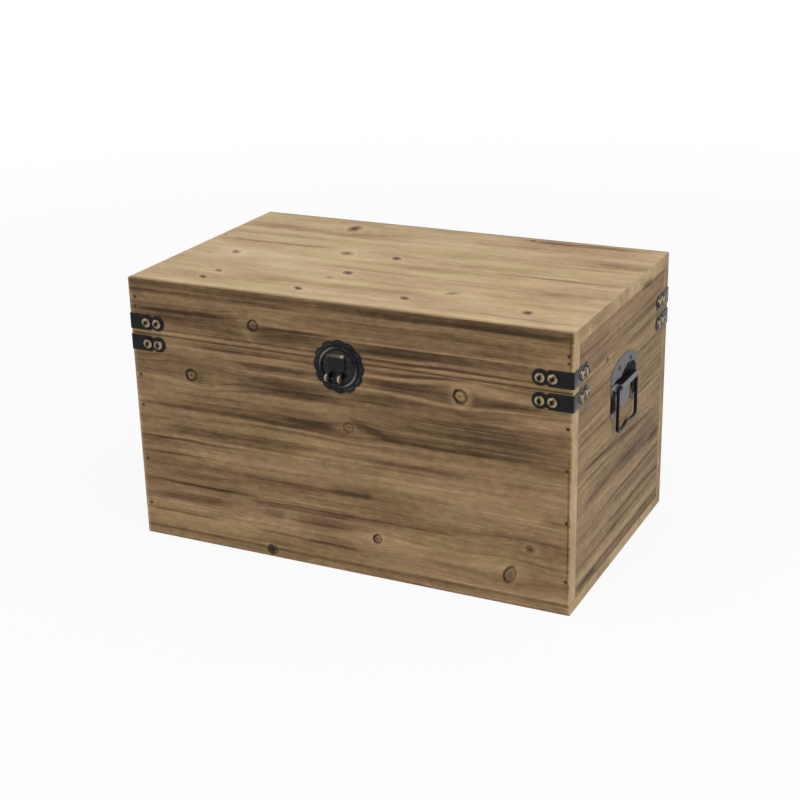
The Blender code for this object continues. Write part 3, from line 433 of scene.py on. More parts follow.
def knot_group():
    """A knot: how dark its core, rim and pith are, its pale halo, and how much it bends the grain."""
    labels = ("Place", *KNOT_LABELS, "Dark in", "Light in", "Bend in")
    tree, graph, given, result = group("knot", labels, ("Dark", "Light", "Bend"))
    along, across, ragged = graph.split(given["Place"])
    v = across - given["Across"]
    x = (along - given["Along"] + v * given["Tilt"]) / given["Radius"]
    y = v / (given["Radius"] * given["Tall"])
    reach = graph.math("SQRT", x * x + y * y) + ragged
    core = graph.span(reach, *KNOT_CORE) * given["Core"]
    rim = graph.span(abs(reach - KNOT_RIM), *KNOT_RIM_FADE) * graph.span(x, *KNOT_LEAN) * given["Rim"]
    pith = graph.span(reach, *KNOT_PITH) * given["Rim"] * PITH_SHARE
    graph.plug(graph.largest(core, rim, pith, given["Dark in"]), result["Dark"])
    halo = graph.span(reach, *KNOT_HALO) * given["Halo"]
    graph.plug(graph.largest(halo, given["Light in"]), result["Light"])
    bend_along, bend_across, bend_share = KNOT_BEND
    wide = x / bend_along
    high = y / bend_across
    fall = graph.math("EXPONENT", -(wide * wide + high * high))
    graph.plug(given["Bend in"] - v * fall * bend_share, result["Bend"])
    return tree


def grain_group():
    """The layers of a pine board's grain, and year rings that show in patches, along a bent grain."""
    tree, graph, given, result = group("pine_grain", ("Place",), (*GRAIN_LAYERS, "Rings"))
    along, across, seed = graph.split(given["Place"])

    def layer(along_scale, across_scale, shift, detail, roughness):
        place = graph.combine(along * along_scale, across * across_scale, seed + shift)
        return graph.noise(place, 1.0, detail, roughness)

    for label, numbers in GRAIN_LAYERS.items():
        graph.plug(layer(*numbers), result[label])
    year = graph.math("FRACT", layer(*YEAR_HEIGHT) * YEARS)
    ring = graph.math("POWER", year, YEAR_POWER) * graph.span(year, *YEAR_EDGE)
    graph.plug(ring * graph.span(layer(*YEAR_PATCHES), *YEAR_SHOWN), result["Rings"])
    return tree


STREAK = streak_group()
KNOT = knot_group()
GRAIN = grain_group()


def add_streaks(graph, along, across, rows, burn=0.0):
    """Adds lenses of darker wood, or of paler wood where the strength is negative, to the burn."""
    place = graph.combine(along, across, 0.0)
    for row in rows:
        values = dict(zip(STREAK_LABELS, row))
        values.update({"Place": place, "Burn in": burn})
        burn = use_group(graph, STREAK, values)["Burn"]
    return burn


def face_pattern(name, axes, knots, streaks, tones, seed, base=0.56, dots=(), straight=(),
                 shares=BURNT_SHARES, knot_colour=BURNT_KNOT):
    """A node group that paints one face of the chest. axes names the directions along and across."""
    tree, graph, _, result = group(name, (), ("Colour",))
    place = dict(zip("XYZ", graph.millimetres()))
    along, across = (place[axis] for axis in axes)

    def wave(along_scale, across_scale, shift, size):
        spot = graph.combine(along * along_scale, across * across_scale, seed + shift)
        return (graph.noise(spot, 1.0, 1.0) - 0.5) * size

    wander = wave(*GRAIN_WAVES[0]) + wave(*GRAIN_WAVES[1])
    ragged = wave(*KNOT_WAVE)
    knot_place = graph.combine(along, across, ragged)
    dark, light, bend = 0.0, 0.0, wander
    for knot in knots:
        values = dict(zip(KNOT_LABELS, knot))
        values.update({"Place": knot_place, "Dark in": dark, "Light in": light, "Bend in": bend})
        dark, light, bend = use_group(graph, KNOT, values).values()
    grain = use_group(graph, GRAIN, {"Place": graph.combine(along, across + bend, seed)})

    lens_height = (bend - wander) * STREAK_BEND + across + wave(*STREAK_WAVE)
    burn = add_streaks(graph, along, lens_height, streaks)
    lined = graph.span(grain["Lines"], *STREAK_ON_LINES)
    clouded = graph.span(grain["Clouds"], *STREAK_ON_CLOUDS)
    burn = add_streaks(graph, along, across, straight, lined * clouded * burn)

    tone = base - burn + light * HALO_LIFT
    for label, share in shares.items():
        middle = 0.0 if label == "Rings" else 0.5
        tone += (grain[label] - middle) * share
    tone = graph.math("MULTIPLY_ADD", dark, KNOT_SHADE, tone, clamp=True)
    flat_place = graph.combine(along, across, 0.0)
    for along_spot, across_spot, radius, strength in dots:
        spot = (along_spot, across_spot, 0.0)
        reach = graph.vector("DISTANCE", flat_place, spot, output="Value") + ragged * radius
        dark = graph.largest(dark, graph.span(reach, radius, radius * DOT_CORE) * strength)
    hue = graph.mix(graph.span(grain["Hue"], *HUE_SPAN), ROSE, OCHRE)
    colour = graph.mix(1.0, graph.ramp(tone, tones), hue, "MULTIPLY")
    graph.plug(graph.mix(dark * KNOT_COVER, colour, knot_colour), result["Colour"])
    return tree


def end_pattern(name, seed, tones):
    """A node group that paints sawn board ends: short ring arcs, speckle and soft blotches."""
    tree, graph, _, result = group(name, (), ("Colour",))
    x, y, z = graph.millimetres()
    swings = []
    for y_scale, z_scale, detail, roughness, _ in END_LAYERS:
        place = graph.combine(x * END_ALONG + seed, y * y_scale, z * z_scale)
        swings.append(graph.noise(place, 1.0, detail, roughness) - 0.5)
    bend, pace, arc_share = END_ARCS
    tone = graph.math("SINE", (y + z + swings[0] * bend) * pace) * arc_share + END_BASE
    for swing, layer in zip(swings, END_LAYERS):
        tone += swing * layer[-1]
    tone = graph.math("SUBTRACT", tone, add_streaks(graph, y, z, END_STAINS), clamp=True)
    graph.plug(graph.ramp(tone, tones), result["Colour"])
    return tree


def scattered(seed, count, along, low, high):
    """Knots for a face that the photograph doesn't show, at seeded places."""
    draw = random.Random(seed)
    knots = []
    for _ in range(count):
        place = (draw.uniform(-along, along), draw.uniform(low, high))
        knots.append((*place, draw.uniform(4.0, 7.0), draw.uniform(0.9, 1.3), draw.uniform(-0.3, 0.3),
                      draw.uniform(0.1, 0.7), draw.uniform(0.5, 0.8), draw.uniform(0.2, 0.5)))
    return knots


def scorched(seed, count, along, low, high):
    """Burn streaks for a face that the photograph doesn't show, at seeded places."""
    draw = random.Random(seed)
    streaks = []
    for _ in range(count):
        middle = (draw.uniform(-along, along), draw.uniform(low, high))
        streaks.append((*middle, draw.uniform(30, 110), draw.uniform(1.2, 5.0), draw.uniform(1.2, 6.0),
                        draw.choice((-0.10, 0.16, 0.24, 0.32, 0.40)), draw.uniform(-0.02, 0.02)))
    return streaks


PALE_LOOK = {"shares": PALE_SHARES, "knot_colour": PALE_KNOT}
PATTERNS = {
    "front": face_pattern("front_face", "XZ", FRONT_KNOTS, FRONT_STREAKS, BURNT_TONES, 11.0, base=0.62,
                          dots=FRONT_DOTS, straight=FRONT_STRAIGHT),
    "rail": face_pattern("rail_face", "XZ", RAIL_KNOTS, RAIL_STREAKS, BURNT_TONES, 11.0, base=0.62,
                         straight=FRONT_STRAIGHT),
    # The sides' higher base is part of the painted light on them
    "right": face_pattern("right_face", "YZ", RIGHT_KNOTS, RIGHT_STREAKS, SIDE_TONES, 47.0, base=0.675,
                          straight=RIGHT_STRAIGHT),
    "top": face_pattern("top_face", "XY", TOP_KNOTS, TOP_STREAKS, PALE_TONES, 83.0, base=0.615,
                        dots=TOP_DOTS, straight=TOP_STRAIGHT, **PALE_LOOK),
    "back": face_pattern("back_face", "XZ", scattered(5, 6, 220, 20, 280), scorched(6, 34, 200, 5, 290),
                         BURNT_TONES, 131.0, base=0.62),
    "left": face_pattern("left_face", "YZ", scattered(9, 2, 110, 30, 270), scorched(10, 22, 110, 5, 280),
                         SIDE_TONES, 163.0, base=0.675),
    "raw": face_pattern("raw_face", "XZ", [], [], RAW_TONES, 191.0, **PALE_LOOK),
    "raw_side": face_pattern("raw_side_face", "YZ", [], [], RAW_TONES, 211.0, **PALE_LOOK),
    "raw_flat": face_pattern("raw_flat_face", "XY", scattered(21, 3, 220, -120, 120), [], RAW_TONES, 223.0,
                             **PALE_LOOK),
    "ends": end_pattern("board_ends", 3.0, END_TONES),
}
# Fineness of a board's bumps along its grain and across it, per metre
FIBRE_ALONG = 18.0
FIBRE_ACROSS = 900.0
WOOD_ROUGHNESS = (0.3, 0.7, 0.70, 0.50)
WOOD_SPECULAR = 0.08
WOOD_BUMP = (0.40, 0.0004)
# How squarely a face looks along an axis where another pattern, or a metal's painted reflection colour,
# starts, and where it is all
OTHER_FACE = (0.60, 0.75)
REFLECTION_FACING = (0.60, 0.90)


def pine(name, grain_axis, base, picks):
    """A pine board's material: a pattern, and others on the faces that look along an axis."""
    material, graph, shader = new_material(name)
    colour = use_group(graph, PATTERNS[base])["Colour"]
    normal = dict(zip("XYZ", graph.split(graph.coordinates("Normal"))))
    for axis, sense, pattern in picks:
        facing = normal[axis] * sense if sense else abs(normal[axis])
        other = use_group(graph, PATTERNS[pattern])["Colour"]
        colour = graph.mix(graph.span(facing, *OTHER_FACE), colour, other)
    graph.plug(colour, shader.inputs["Base Color"])
    fineness = [FIBRE_ALONG if axis == grain_axis else FIBRE_ACROSS for axis in "XYZ"]
    relief = graph.noise(graph.vector("MULTIPLY", graph.coordinates("Object"), fineness), 1.0, 3.0, 0.6)
    graph.plug(graph.span(relief, *WOOD_ROUGHNESS), shader.inputs["Roughness"])
    shader.inputs["Specular IOR Level"].default_value = WOOD_SPECULAR
    graph.bump(relief, *WOOD_BUMP, shader)
    return material


MATERIALS = {
    "front": pine("pine_front", "X", "raw", [("Y", -1.0, "front"), ("X", 0.0, "ends")]),
    "back": pine("pine_back", "X", "raw", [("Y", 1.0, "back"), ("X", 0.0, "ends")]),
    "right": pine("pine_right", "Y", "raw_side", [("X", 1.0, "right")]),
    "left": pine("pine_left", "Y", "raw_side", [("X", -1.0, "left")]),
    "top": pine("pine_top", "X", "top", [("Y", 0.0, "rail"), ("X", 0.0, "ends"), ("Z", -1.0, "raw_flat")]),
    "bottom": pine("pine_bottom", "X", "raw_flat", [("Y", 0.0, "rail"), ("X", 0.0, "ends")]),
}


# Metals

# Spans of the blotches' noise for a metal's second colour, and of its wear and painted light for the worn
# colour
BLOTCH_SPAN = (0.35, 0.75)
WEAR_AND_LIGHT_SPAN = (0.12, 0.95)
WEAR_AND_LIGHT_RAGGED = 0.40
# Pits: how much finer than the blotches, strength and depth
PITS = (7.0, 0.25, 0.0001)
BLACK = (0.003, 0.003, 0.0035)
SOFT_BLACK = (0.006, 0.006, 0.0075)
# The colour black iron shows where it is worn, and where the small screw heads are painted with highlights
WORN_AND_LIT_BLACK = (0.085, 0.078, 0.070)
# Two blotched colours, the colour of wear and painted highlights, metallic, roughness, specular, blotches
# per metre, and any colour painted as a reflection on the faces that look along the chest's length
METAL_LOOKS = {
    "black_iron": (BLACK, SOFT_BLACK, WORN_AND_LIT_BLACK, 0.0, 0.30, 0.16),
    # strap_iron: its last colour is a grey-blue reflection painted on the strap leaves that face the
    # chest's ends
    "strap_iron": (BLACK, SOFT_BLACK, WORN_AND_LIT_BLACK, 0.0, 0.30, 0.16, 260.0, (0.028, 0.031, 0.042)),
    # latch_iron: its bluish first colour is the plate's blue-black and also stands in for its bluish sheen;
    # its worn colour shows the painted highlight and sheen
    "latch_iron": ((0.0015, 0.0022, 0.0040), (0.0095, 0.0085, 0.0080), (0.16, 0.148, 0.13), 0.0, 0.34, 0.15,
                   170.0),
    "flap_iron": ((0.009, 0.0065, 0.0065), (0.018, 0.014, 0.0135), (0.12, 0.105, 0.085), 0.2, 0.38, 0.18),
    # grey_iron: its dark colours are painted shade in the handle plates' hollows and on the barrel's top;
    # its worn colour is the plate's grey
    "grey_iron": ((0.004, 0.004, 0.005), (0.008, 0.009, 0.011), (0.212, 0.207, 0.213), 0.0, 0.55, 0.03),
    # antique_brass: its worn colour is what the screw heads' painted highlight shows
    "antique_brass": ((0.012, 0.009, 0.006), (0.030, 0.022, 0.012), (0.325, 0.26, 0.158), 1.0, 0.30, 0.5),
    "worn_steel": ((0.10, 0.085, 0.070), (0.34, 0.30, 0.25), (0.50, 0.46, 0.40), 1.0, 0.30, 0.5),
    "bright_ends": ((0.016, 0.015, 0.016), (0.030, 0.028, 0.028), (0.25, 0.215, 0.17), 0.9, 0.36, 0.5),
}


def metal(name, dark, second, worn, metallic, roughness, specular, scale=260.0, sides=None):
    """A painted or bare metal, blotched between two colours, finely pitted, and given its worn colour where
    it is worn and where highlights are painted.
    """
    material, graph, shader = new_material(name)
    place = graph.coordinates("Object")
    blotch = graph.noise(place, scale, 3.0, 0.6)
    colour = graph.mix(graph.span(blotch, *BLOTCH_SPAN), dark, second)
    # Painted reflection: faces that look along the chest's length take the sides colour
    if sides:
        facing = abs(graph.split(graph.coordinates("Normal"))[0])
        colour = graph.mix(graph.span(facing, *REFLECTION_FACING), colour, sides)
    wear = graph.outputs(graph.add("ShaderNodeAttribute", attribute_name="wear"))["Fac"]
    share = graph.span(wear + (blotch - 0.5) * WEAR_AND_LIGHT_RAGGED, *WEAR_AND_LIGHT_SPAN)
    graph.plug(graph.mix(share, colour, worn), shader.inputs["Base Color"])
    shader.inputs["Metallic"].default_value = metallic
    shader.inputs["Specular IOR Level"].default_value = specular
    graph.plug(graph.span(blotch, 0.3, 0.7, roughness * 0.8, roughness * 1.25), shader.inputs["Roughness"])
    finer, strength, depth = PITS
    graph.bump(graph.noise(place, scale * finer, 2.0, 0.6), strength, depth, shader)
    return material


METALS = {name: metal(name + "_look", *look) for name, look in METAL_LOOKS.items()}


def dress_nodes():
    """Gives each CAD node that stays its material."""
    for name, thing in frame["nodes"].items():
        material = METALS.get(SLOTS[name]) or MATERIALS[name.split("_")[1]]
        for item in thing.material_slots:
            item.material = material


# Places and sizes of the fittings, in millimetres

WIDTH = 500.0
DEPTH = 300.0
SEAM = 237.0
GAP = 0.3
# Sides of the chest: how far each is turned, how far out it lies, and which way its own x runs
FACES = {"front": (0.0, DEPTH / 2, 1), "right": (90.0, WIDTH / 2, 1), "back": (180.0, DEPTH / 2, -1),
         "left": (270.0, WIDTH / 2, -1)}
SMOOTH_ANGLE = 38.0
# Rounding of a bar's ends: how far from the end and how thick, in radii
BAR_ENDS = ((0.0, 0.0), (0.35, 0.70), (0.75, 0.95))
# Screws: rings towards the rim in shares of the radius; heads give radius and height
SCREW_SIDES = 40
SCREW_RIM = (0.62, 0.72, 0.80, 0.87, 0.93, 0.97, 0.995)
SCREW_CROWN = (3.0, 2.4)
# The recess: half width, softness of the walls and of the ends in shares of its reach, depth
SCREW_CROSS = (0.24, 0.168, 0.45, 0.50)
# The crown's painted highlight: where it begins and the way to its full, its middle, how it varies round,
# and its least
SCREW_GLINT = (0.14, 0.58, 0.50, 0.30, 0.24)
# The painted shade line near the rim: place, half width, darkness; then the painted shade in the recess and
# the wear at the foot
SCREW_SHADE_LINE = (0.94, 0.08, 0.9)
SCREW_SUNK_SHADE = 0.7
SCREW_FOOT_WEAR = 0.75
SMALL_HEAD = (2.6, 1.2)
SMALL_RECESS = 1.5
SMALL_HOLE = 1.5

STRAP_HALF = 8.5
STRAP_FACE = 1.0
STRAP_SCREWS = (33.5, 20.5)
# The dip in a strap's edges: where it starts and how deep it is, and where the round lobe starts
STRAP_NOTCH = (24.8, 1.6)
LOBE_START = 29.2
STRAP_MIDDLES = {"lid": 249.0, "body": 225.5}
STRAP_BEND = 0.9
STRAP_HEAD = (5.7, 3.1)
STRAP_RECESS = 2.9

LATCH_Z = 230.0
LATCH_FACE = 1.5
# Ring bead: radius, half width, rise; raised middle: radius, rise; rim: radius, depth of the scallops
LATCH_BEAD = (20.5, 1.8, 1.6)
LATCH_MIDDLE = (13.5, 1.9)
LATCH_REACH = (28.7, 2.4)
LATCH_LOBES = 12
# Rings of its mesh: radii up to the bead, degrees over the bead, shares of the way from it to the rim
LATCH_RINGS = (0.0, 5.0, 10.0, 13.5, 14.4, 15.3, 16.2, 17.1, 18.0, 18.7)
LATCH_BEAD_TURNS = (-75, -60, -40, -20, 0, 20, 40, 60, 75, 90)
LATCH_LOBE_SHARES = (0.12, 0.24, 0.36, 0.48, 0.60, 0.72, 0.84, 0.94)
# How high the lobes are puffed and how deep the dents between them are
LATCH_PUFF = (0.75, 0.35)
# Wear and painted light: where the painted highlight is brightest; least and more on the bead; wear inside
# it; painted sheen on the lobes, and where
LATCH_HIGHLIGHT_AT = 140
BEAD_WEAR_AND_HIGHLIGHT = (0.14, 0.90)
DISH_WEAR = 0.27
LOBE_SHEEN = 0.16
LOBE_SHEEN_SPAN = (0.3, 0.7)
NAIL_CIRCLE = 23.8
NAIL_HEAD = [(0.0, 2.7), (0.7, 2.62), (1.25, 2.3), (1.65, 1.95), (1.8, 1.6), (1.8, 1.2)]
HASP_Z = 243.3
HASP_OUT = 5.9
HASP_KNUCKLE = (2.2, 1.1)
HASP_KNUCKLE_SHINE = 0.55
HASP_FOOT = 1.3
HASP_DISH = (0.35, 1.2)
HASP_HALF = 9.25
HASP_TAB = 5.0
HASP_BACK = 3.9
HASP_THICK = 1.4
HASP_SHOULDER = 226.7
HASP_CORNER = 3.5
HASP_TAIL = (5.6, 212.5)
HASP_LIP = 1.5
HASP_PIN = 0.8
EYE = (12.5, 221.8)
EYE_RADII = (4.4, 1.8)
STAPLE_X = 7.3
STAPLE_HALF = 1.3
STAPLE_SEAT = 3.7
STAPLE_NECK = 2.6

HANDLE_Z = 200.5
HANDLE_FACE = 1.8
HANDLE_HALF = 39.0
# Heights are from the bail's axis. Foot of a leg: radius, height; then where edges lie and how far they bow
HANDLE_LEG = 13.0
HANDLE_FOOT = (6.5, -32.5)
HANDLE_CROTCH = (-12.0, 5.0)
HANDLE_TONGUE = (15.0, -22.5, -6.5)
HANDLE_ARCH = (18.5, -9.0)
HANDLE_EDGE = (8.0, 6.5, 5.5, 4.5, 1.8, 0.2, -12.0, -24.0, -25.5)
HANDLE_SCREWS = (18.0, 18.5)
# Edges of the plate's hollows, which are sunk and painted dark as shade: place along it and height from the
# bail's axis
HOLLOW_TOP = [(-39, 6.0), (-26, 7.6), (-12, 6.8), (-1, 11.6), (10, 14.9), (25, 12.9), (39, 6.0)]
BAND_TOP = [(-39, 5.0), (-26, 4.2), (-17, -1.0), (39, -1.0)]
BAND_FOOT = [(-39, 0.9), (-27, -3.9), (-1, -9.8), (20, -7.5), (29, 0.6), (39, 0.6)]
HOLLOW_DEPTH = 0.55
HOLLOW_EDGE = 1.6
HOLLOW_END = -25.0
# Wear of the proud faces: the height where the arch's face starts, its wear and that of the rest
ARCH_FACE = 8.0
ARCH_WEAR = 0.70
LEG_WEAR = 0.95
BARREL = (4.0, 2.1, 24.0)
BARREL_SHINE = 0.9
BARREL_SHADE = 3.3
BAIL_OUT = 5.0
BAIL_RADIUS = 1.8
BAIL_HALF = 29.5
BAIL_DROP = 47.5
BAIL_WAVE = (26.0, 2.5)

HINGE_Z = 237.15
HINGE_X = 150.0
HINGE_OUT = 3.1
HINGE_HALF = 18.0
HINGE_TAB = 6.0
HINGE_LEAF = 21.0
HINGE_CORNER = 3.0
HINGE_FACE = 1.5
HINGE_KNUCKLE = (2.8, 1.5)
HINGE_PIN = 1.2
HINGE_SCREWS = (11.0, 12.5)


# Mesh tools

def clamp(value):
    """A value kept between 0 and 1."""
    return max(0.0, min(1.0, value))


def add_object(name, data):
    """A new object in the scene."""
    thing = bpy.data.objects.new(name, data)
    bpy.context.scene.collection.objects.link(thing)
    return thing


def face_frame(face):
    """The axes of one side of the chest, in millimetres: -y points out of the wood."""
    turn, reach, _ = FACES[face]
    return Matrix.Rotation(math.radians(turn), 4, "Z") @ Matrix.Translation((0.0, -reach, 0.0))


def start_mesh():
    """An empty bmesh with the attribute that says where metal is worn bright and where it is painted with
    highlights and shade.
    """
    bm = bmesh.new()
    bm.verts.layers.float.new("wear")
    return bm


def set_wear_and_light(bm, first, wear):
    """Sets the wear and the painted light and shade of the vertices from the first one on, by their places
    in millimetres.
    """
    layer = bm.verts.layers.float["wear"]
    for vert in list(bm.verts)[first:]:
        vert[layer] = wear(vert.co)


def add_piece(name, bm, look, body, node, matrix=Matrix()):
    """Turns a bmesh in millimetres into a piece that rides on a body and stands for a CAD node."""
    bmesh.ops.recalc_face_normals(bm, faces=bm.faces)
    bm.transform(Matrix.Scale(1 / MM, 4) @ matrix)
    mesh = bpy.data.meshes.new(name)
    bm.to_mesh(mesh)
    bm.free()
    mesh.shade_smooth()
    mesh.set_sharp_from_angle(angle=math.radians(SMOOTH_ANGLE))
    mesh.materials.append(METALS[look])
    thing = add_object(name, mesh)
    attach(thing, body)
    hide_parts(node)


def around(radius, sides):
    """Angles of the points of a ring, or one angle for a tip."""
    return [2 * math.pi * step / sides for step in range(sides if radius > 0 else 1)]


def skin(bm, rings):
    """Faces between neighbouring rings, where a ring of one point is a tip."""
    for upper, lower in zip(rings, rings[1:]):
        sides = max(len(upper), len(lower))
        for step in range(sides):
            after = (step + 1) % sides
            corners = [upper[step % len(upper)], upper[after % len(upper)]]
            corners += [lower[after % len(lower)], lower[step % len(lower)]]
            bm.faces.new(list(dict.fromkeys(corners)))


def spin(bm, profile, matrix, sides):
    """Turns (radius, height) points about the matrix's -y axis, one ring for each point."""
    return [[bm.verts.new(matrix @ Vector((radius * math.cos(angle), -height, radius * math.sin(angle))))
             for angle in around(radius, sides)] for radius, height in profile]


def pipe(bm, x, out, z, half, outer, inner, soft, sides=28):
    """A hollow knuckle or barrel along the face, with softened ends."""
    profile = [(outer, -half + soft), (outer, half - soft), (outer - soft, half), (inner, half),
               (inner, -half), (outer - soft, -half)]
    matrix = Matrix.Translation((x, -out, z)) @ Matrix.Rotation(math.radians(90), 4, "Z")
    rings = spin(bm, profile, matrix, sides)
    skin(bm, rings + rings[:1])


def tube(bm, points, radius, sides):
    """A round bar along a line of points, with rounded ends."""
    spine = [Vector(point) for point in points]
    first = (spine[1] - spine[0]).normalized() * radius
    last = (spine[-1] - spine[-2]).normalized() * radius
    stations = [(spine[0] + first * step, size * radius) for step, size in BAR_ENDS]
    stations += [(point, radius) for point in spine[1:-1]]
    stations += [(spine[-1] - last * step, size * radius) for step, size in reversed(BAR_ENDS)]
    rings = []
    side = first.orthogonal()
    for index, (place, size) in enumerate(stations):
        before = stations[max(index - 1, 0)][0]
        after = stations[min(index + 1, len(stations) - 1)][0]
        direction = (after - before).normalized()
        side = (side - direction * side.dot(direction)).normalized()
        other = direction.cross(side)
        leans = [math.cos(angle) * side + math.sin(angle) * other for angle in around(size, sides)]
        rings.append([bm.verts.new(place + size * lean) for lean in leans])
    skin(bm, rings)


def bar(bm, x, out, z, half, radius, sides=16):
    """A straight round bar along the face."""
    tube(bm, [(x + half * share, -out, z) for share in (-1.0, -0.5, 0.5, 1.0)], radius, sides)


def arc(centre, radius, start, end, steps=8):
    """Points of an arc between two angles in degrees, both ends included."""
    points = []
    for step in range(steps + 1):
        angle = math.radians(start + (end - start) * step / steps)
        points.append((centre[0] + radius * math.cos(angle), centre[1] + radius * math.sin(angle)))
    return points


def bow(start, end, rise, steps):
    """Points of a flat arc between two points, risen to the left of the way by a height at its middle."""
    start, end = Vector(start), Vector(end)
    chord = end - start
    half = chord.length / 2
    radius = (half * half + rise * rise) / (2 * abs(rise))
    left = Vector((-chord.y, chord.x)).normalized() * math.copysign(1, rise)
    centre = (start + end) / 2 + left * (abs(rise) - radius)
    swing = 2 * math.asin(min(1.0, half / radius)) * -math.copysign(1, rise)
    turns = [Matrix.Rotation(swing * step / steps, 2) for step in range(steps + 1)]
    return [tuple(centre + turn @ (start - centre)) for turn in turns]


def hole(x, z):
    """A screw's hole in a plate."""
    return arc((x, z), SMALL_HOLE, 0, 360, 16)[:-1]


def mirrored(points):
    """An outline's other half, in the order that goes on from it."""
    return [(-a, b) for a, b in reversed(points)]


def is_inside(point, loop):
    """Whether a point lies in a closed outline."""
    x, y = point
    odd = False
    for (ax, ay), (bx, by) in zip(loop, loop[1:] + loop[:1]):
        if (ay > y) != (by > y) and x < (bx - ax) * (y - ay) / (by - ay) + ax:
            odd = not odd
    return odd


def shrunk(loop, distance):
    """The outline moved by a distance to its left."""
    moved = []
    for index in range(len(loop)):
        here = Vector(loop[index])
        before = (here - Vector(loop[index - 1])).normalized()
        after = (Vector(loop[(index + 1) % len(loop)]) - here).normalized()
        lean = Vector((-before.y - after.y, before.x + after.x)).normalized()
        square = max(0.5, lean.dot(Vector((-before.y, before.x))))
        moved.append(tuple(here + lean * distance / square))
    return moved


def turned_left(loop, wanted):
    """The outline in anticlockwise order, or clockwise where wanted is false."""
    area = sum(ax * by - bx * ay for (ax, ay), (bx, by) in zip(loop, loop[1:] + loop[:1]))
    return loop if (area > 0) == wanted else loop[::-1]


def flat(a, b, out):
    """A point of a plate that lies against its face."""
    return (a, -out, b)


def plate(bm, outline, holes, near, far, to_point=flat, soft=0.3, relief=None, pitch=0.0, ribs=(),
          both=False):
    """A plate between two distances from the wood, with a rounded rim and holes.

    relief(a, b) gives a point's rise and its wear and painted light, pitch spaces the points that it
    needs, ribs are pairs of outline points that a bend line joins, and both rounds the near side too.
    """
    layer = bm.verts.layers.float["wear"]
    loops = [turned_left(list(outline), True)] + [turned_left(list(loop), False) for loop in holes]

    def covers(spot):
        return is_inside(spot, loops[0]) and not any(is_inside(spot, loop) for loop in loops[1:])

    points, drops, edges, tracks = [], [], [], []
    for loop in loops:
        tracks.append([])
        for inset, drop in ((0.0, soft), (soft * 0.3, soft * 0.3), (soft, 0.0)):
            first = len(points)
            points += shrunk(loop, inset) if inset else loop
            drops += [drop] * len(loop)
            edges += [(first + i, first + (i + 1) % len(loop)) for i in range(len(loop))]
            tracks[-1].append(first)
    for i, j in ribs:
        for first, second in zip(tracks[0], tracks[0][1:]):
            edges += [(first + i, second + i), (first + j, second + j)]
        edges.append((tracks[0][-1] + i, tracks[0][-1] + j))
    if pitch:
        (low_a, high_a), (low_b, high_b) = [(min(line), max(line)) for line in zip(*loops[0])]
        rims = [Vector(point) for loop in loops for point in loop]
        for i in range(int((high_a - low_a) / pitch) + 1):
            for j in range(int((high_b - low_b) / pitch) + 1):
                spot = (low_a + (i + 0.5 * (j % 2)) * pitch, low_b + j * pitch)
                clear = min((Vector(spot) - rim).length for rim in rims)
                if covers(spot) and clear > soft + pitch * 0.4:
                    points.append(spot)
                    drops.append(0.0)
    out = delaunay_2d_cdt([Vector(point) for point in points], edges, [], 0, 1e-5)
    places, triangles, origins = out[0], out[2], out[3]
    kept = [corners for corners in triangles
            if covers(sum((places[i] for i in corners), Vector((0, 0))) / 3)]
    skins = []
    for outer in (False, True):
        skins.append([])
        for spot, origin in zip(places, origins):
            drop = drops[origin[0]] if origin else 0.0
            rise, wear = relief(*spot) if relief else (0.0, 0.0)
            level = far + rise - drop if outer else near + (drop if both else 0.0)
            vert = bm.verts.new(to_point(spot[0], spot[1], level))
            vert[layer] = wear
            skins[-1].append(vert)
        for corners in kept:
            bm.faces.new([skins[-1][i] for i in corners])
    where = {origin: index for index, sources in enumerate(origins) for origin in sources}
    for loop, track in zip(loops, tracks):
        for i in range(len(loop)):
            a = where[track[0] + i]
            b = where[track[0] + (i + 1) % len(loop)]
            if a != b:
                bm.faces.new((skins[0][a], skins[0][b], skins[1][b], skins[1][a]))
    loose = [vert for vert in bm.verts if not vert.link_faces]
    bmesh.ops.delete(bm, geom=loose, context="VERTS")


def screw(bm, matrix, size, base, recess):
    """A pan head with a cross recess; its crown has a painted highlight, lighter towards the rim and along
    one line across it.
    """
    radius, height = size
    layer = bm.verts.layers.float["wear"]
    arm, soft_wall, soft_end, depth = SCREW_CROSS
    arm, soft_wall, soft_end = (share * recess for share in (arm, soft_wall, soft_end))
    start, way, middle, swing, least = SCREW_GLINT
    line, half_line, dark = SCREW_SHADE_LINE
    power, root = SCREW_CROWN
    shares = [0.0] + [recess / radius * step / 7 for step in range(1, 9)]
    shares += [share for share in SCREW_RIM if share > shares[-1] + 0.02]
    rings = []
    for share in shares:
        rings.append([])
        for angle in around(share, SCREW_SIDES):
            x = radius * share * math.cos(angle)
            z = radius * share * math.sin(angle)
            cross = min(abs(x), abs(z))
            wall = clamp((arm - cross) / soft_wall + 0.3)
            end = clamp((recess - max(abs(x), abs(z))) / soft_end)
            sink = height * depth * wall * end if cross < arm else 0.0
            crown = base + height * (1 - share ** power) ** (1 / root)
            vert = bm.verts.new(matrix @ Vector((x, sink - crown, z)))
            # Painted highlight over the crown, and painted shade on a line near the rim and in the recess
            lit = clamp((share - start) / way) * (middle + swing * math.cos(2 * angle)) + least
            rim = max(0.0, 1.0 - abs(share - line) / half_line)
            vert[layer] = lit * (1.0 - dark * rim) * (SCREW_SUNK_SHADE if sink else 1.0)
            rings[-1].append(vert)
    foot = spin(bm, [(radius, base)], matrix, SCREW_SIDES)
    for vert in foot[0]:
        vert[layer] = SCREW_FOOT_WEAR
    skin(bm, rings + foot)
    bm.faces.new(foot[0])


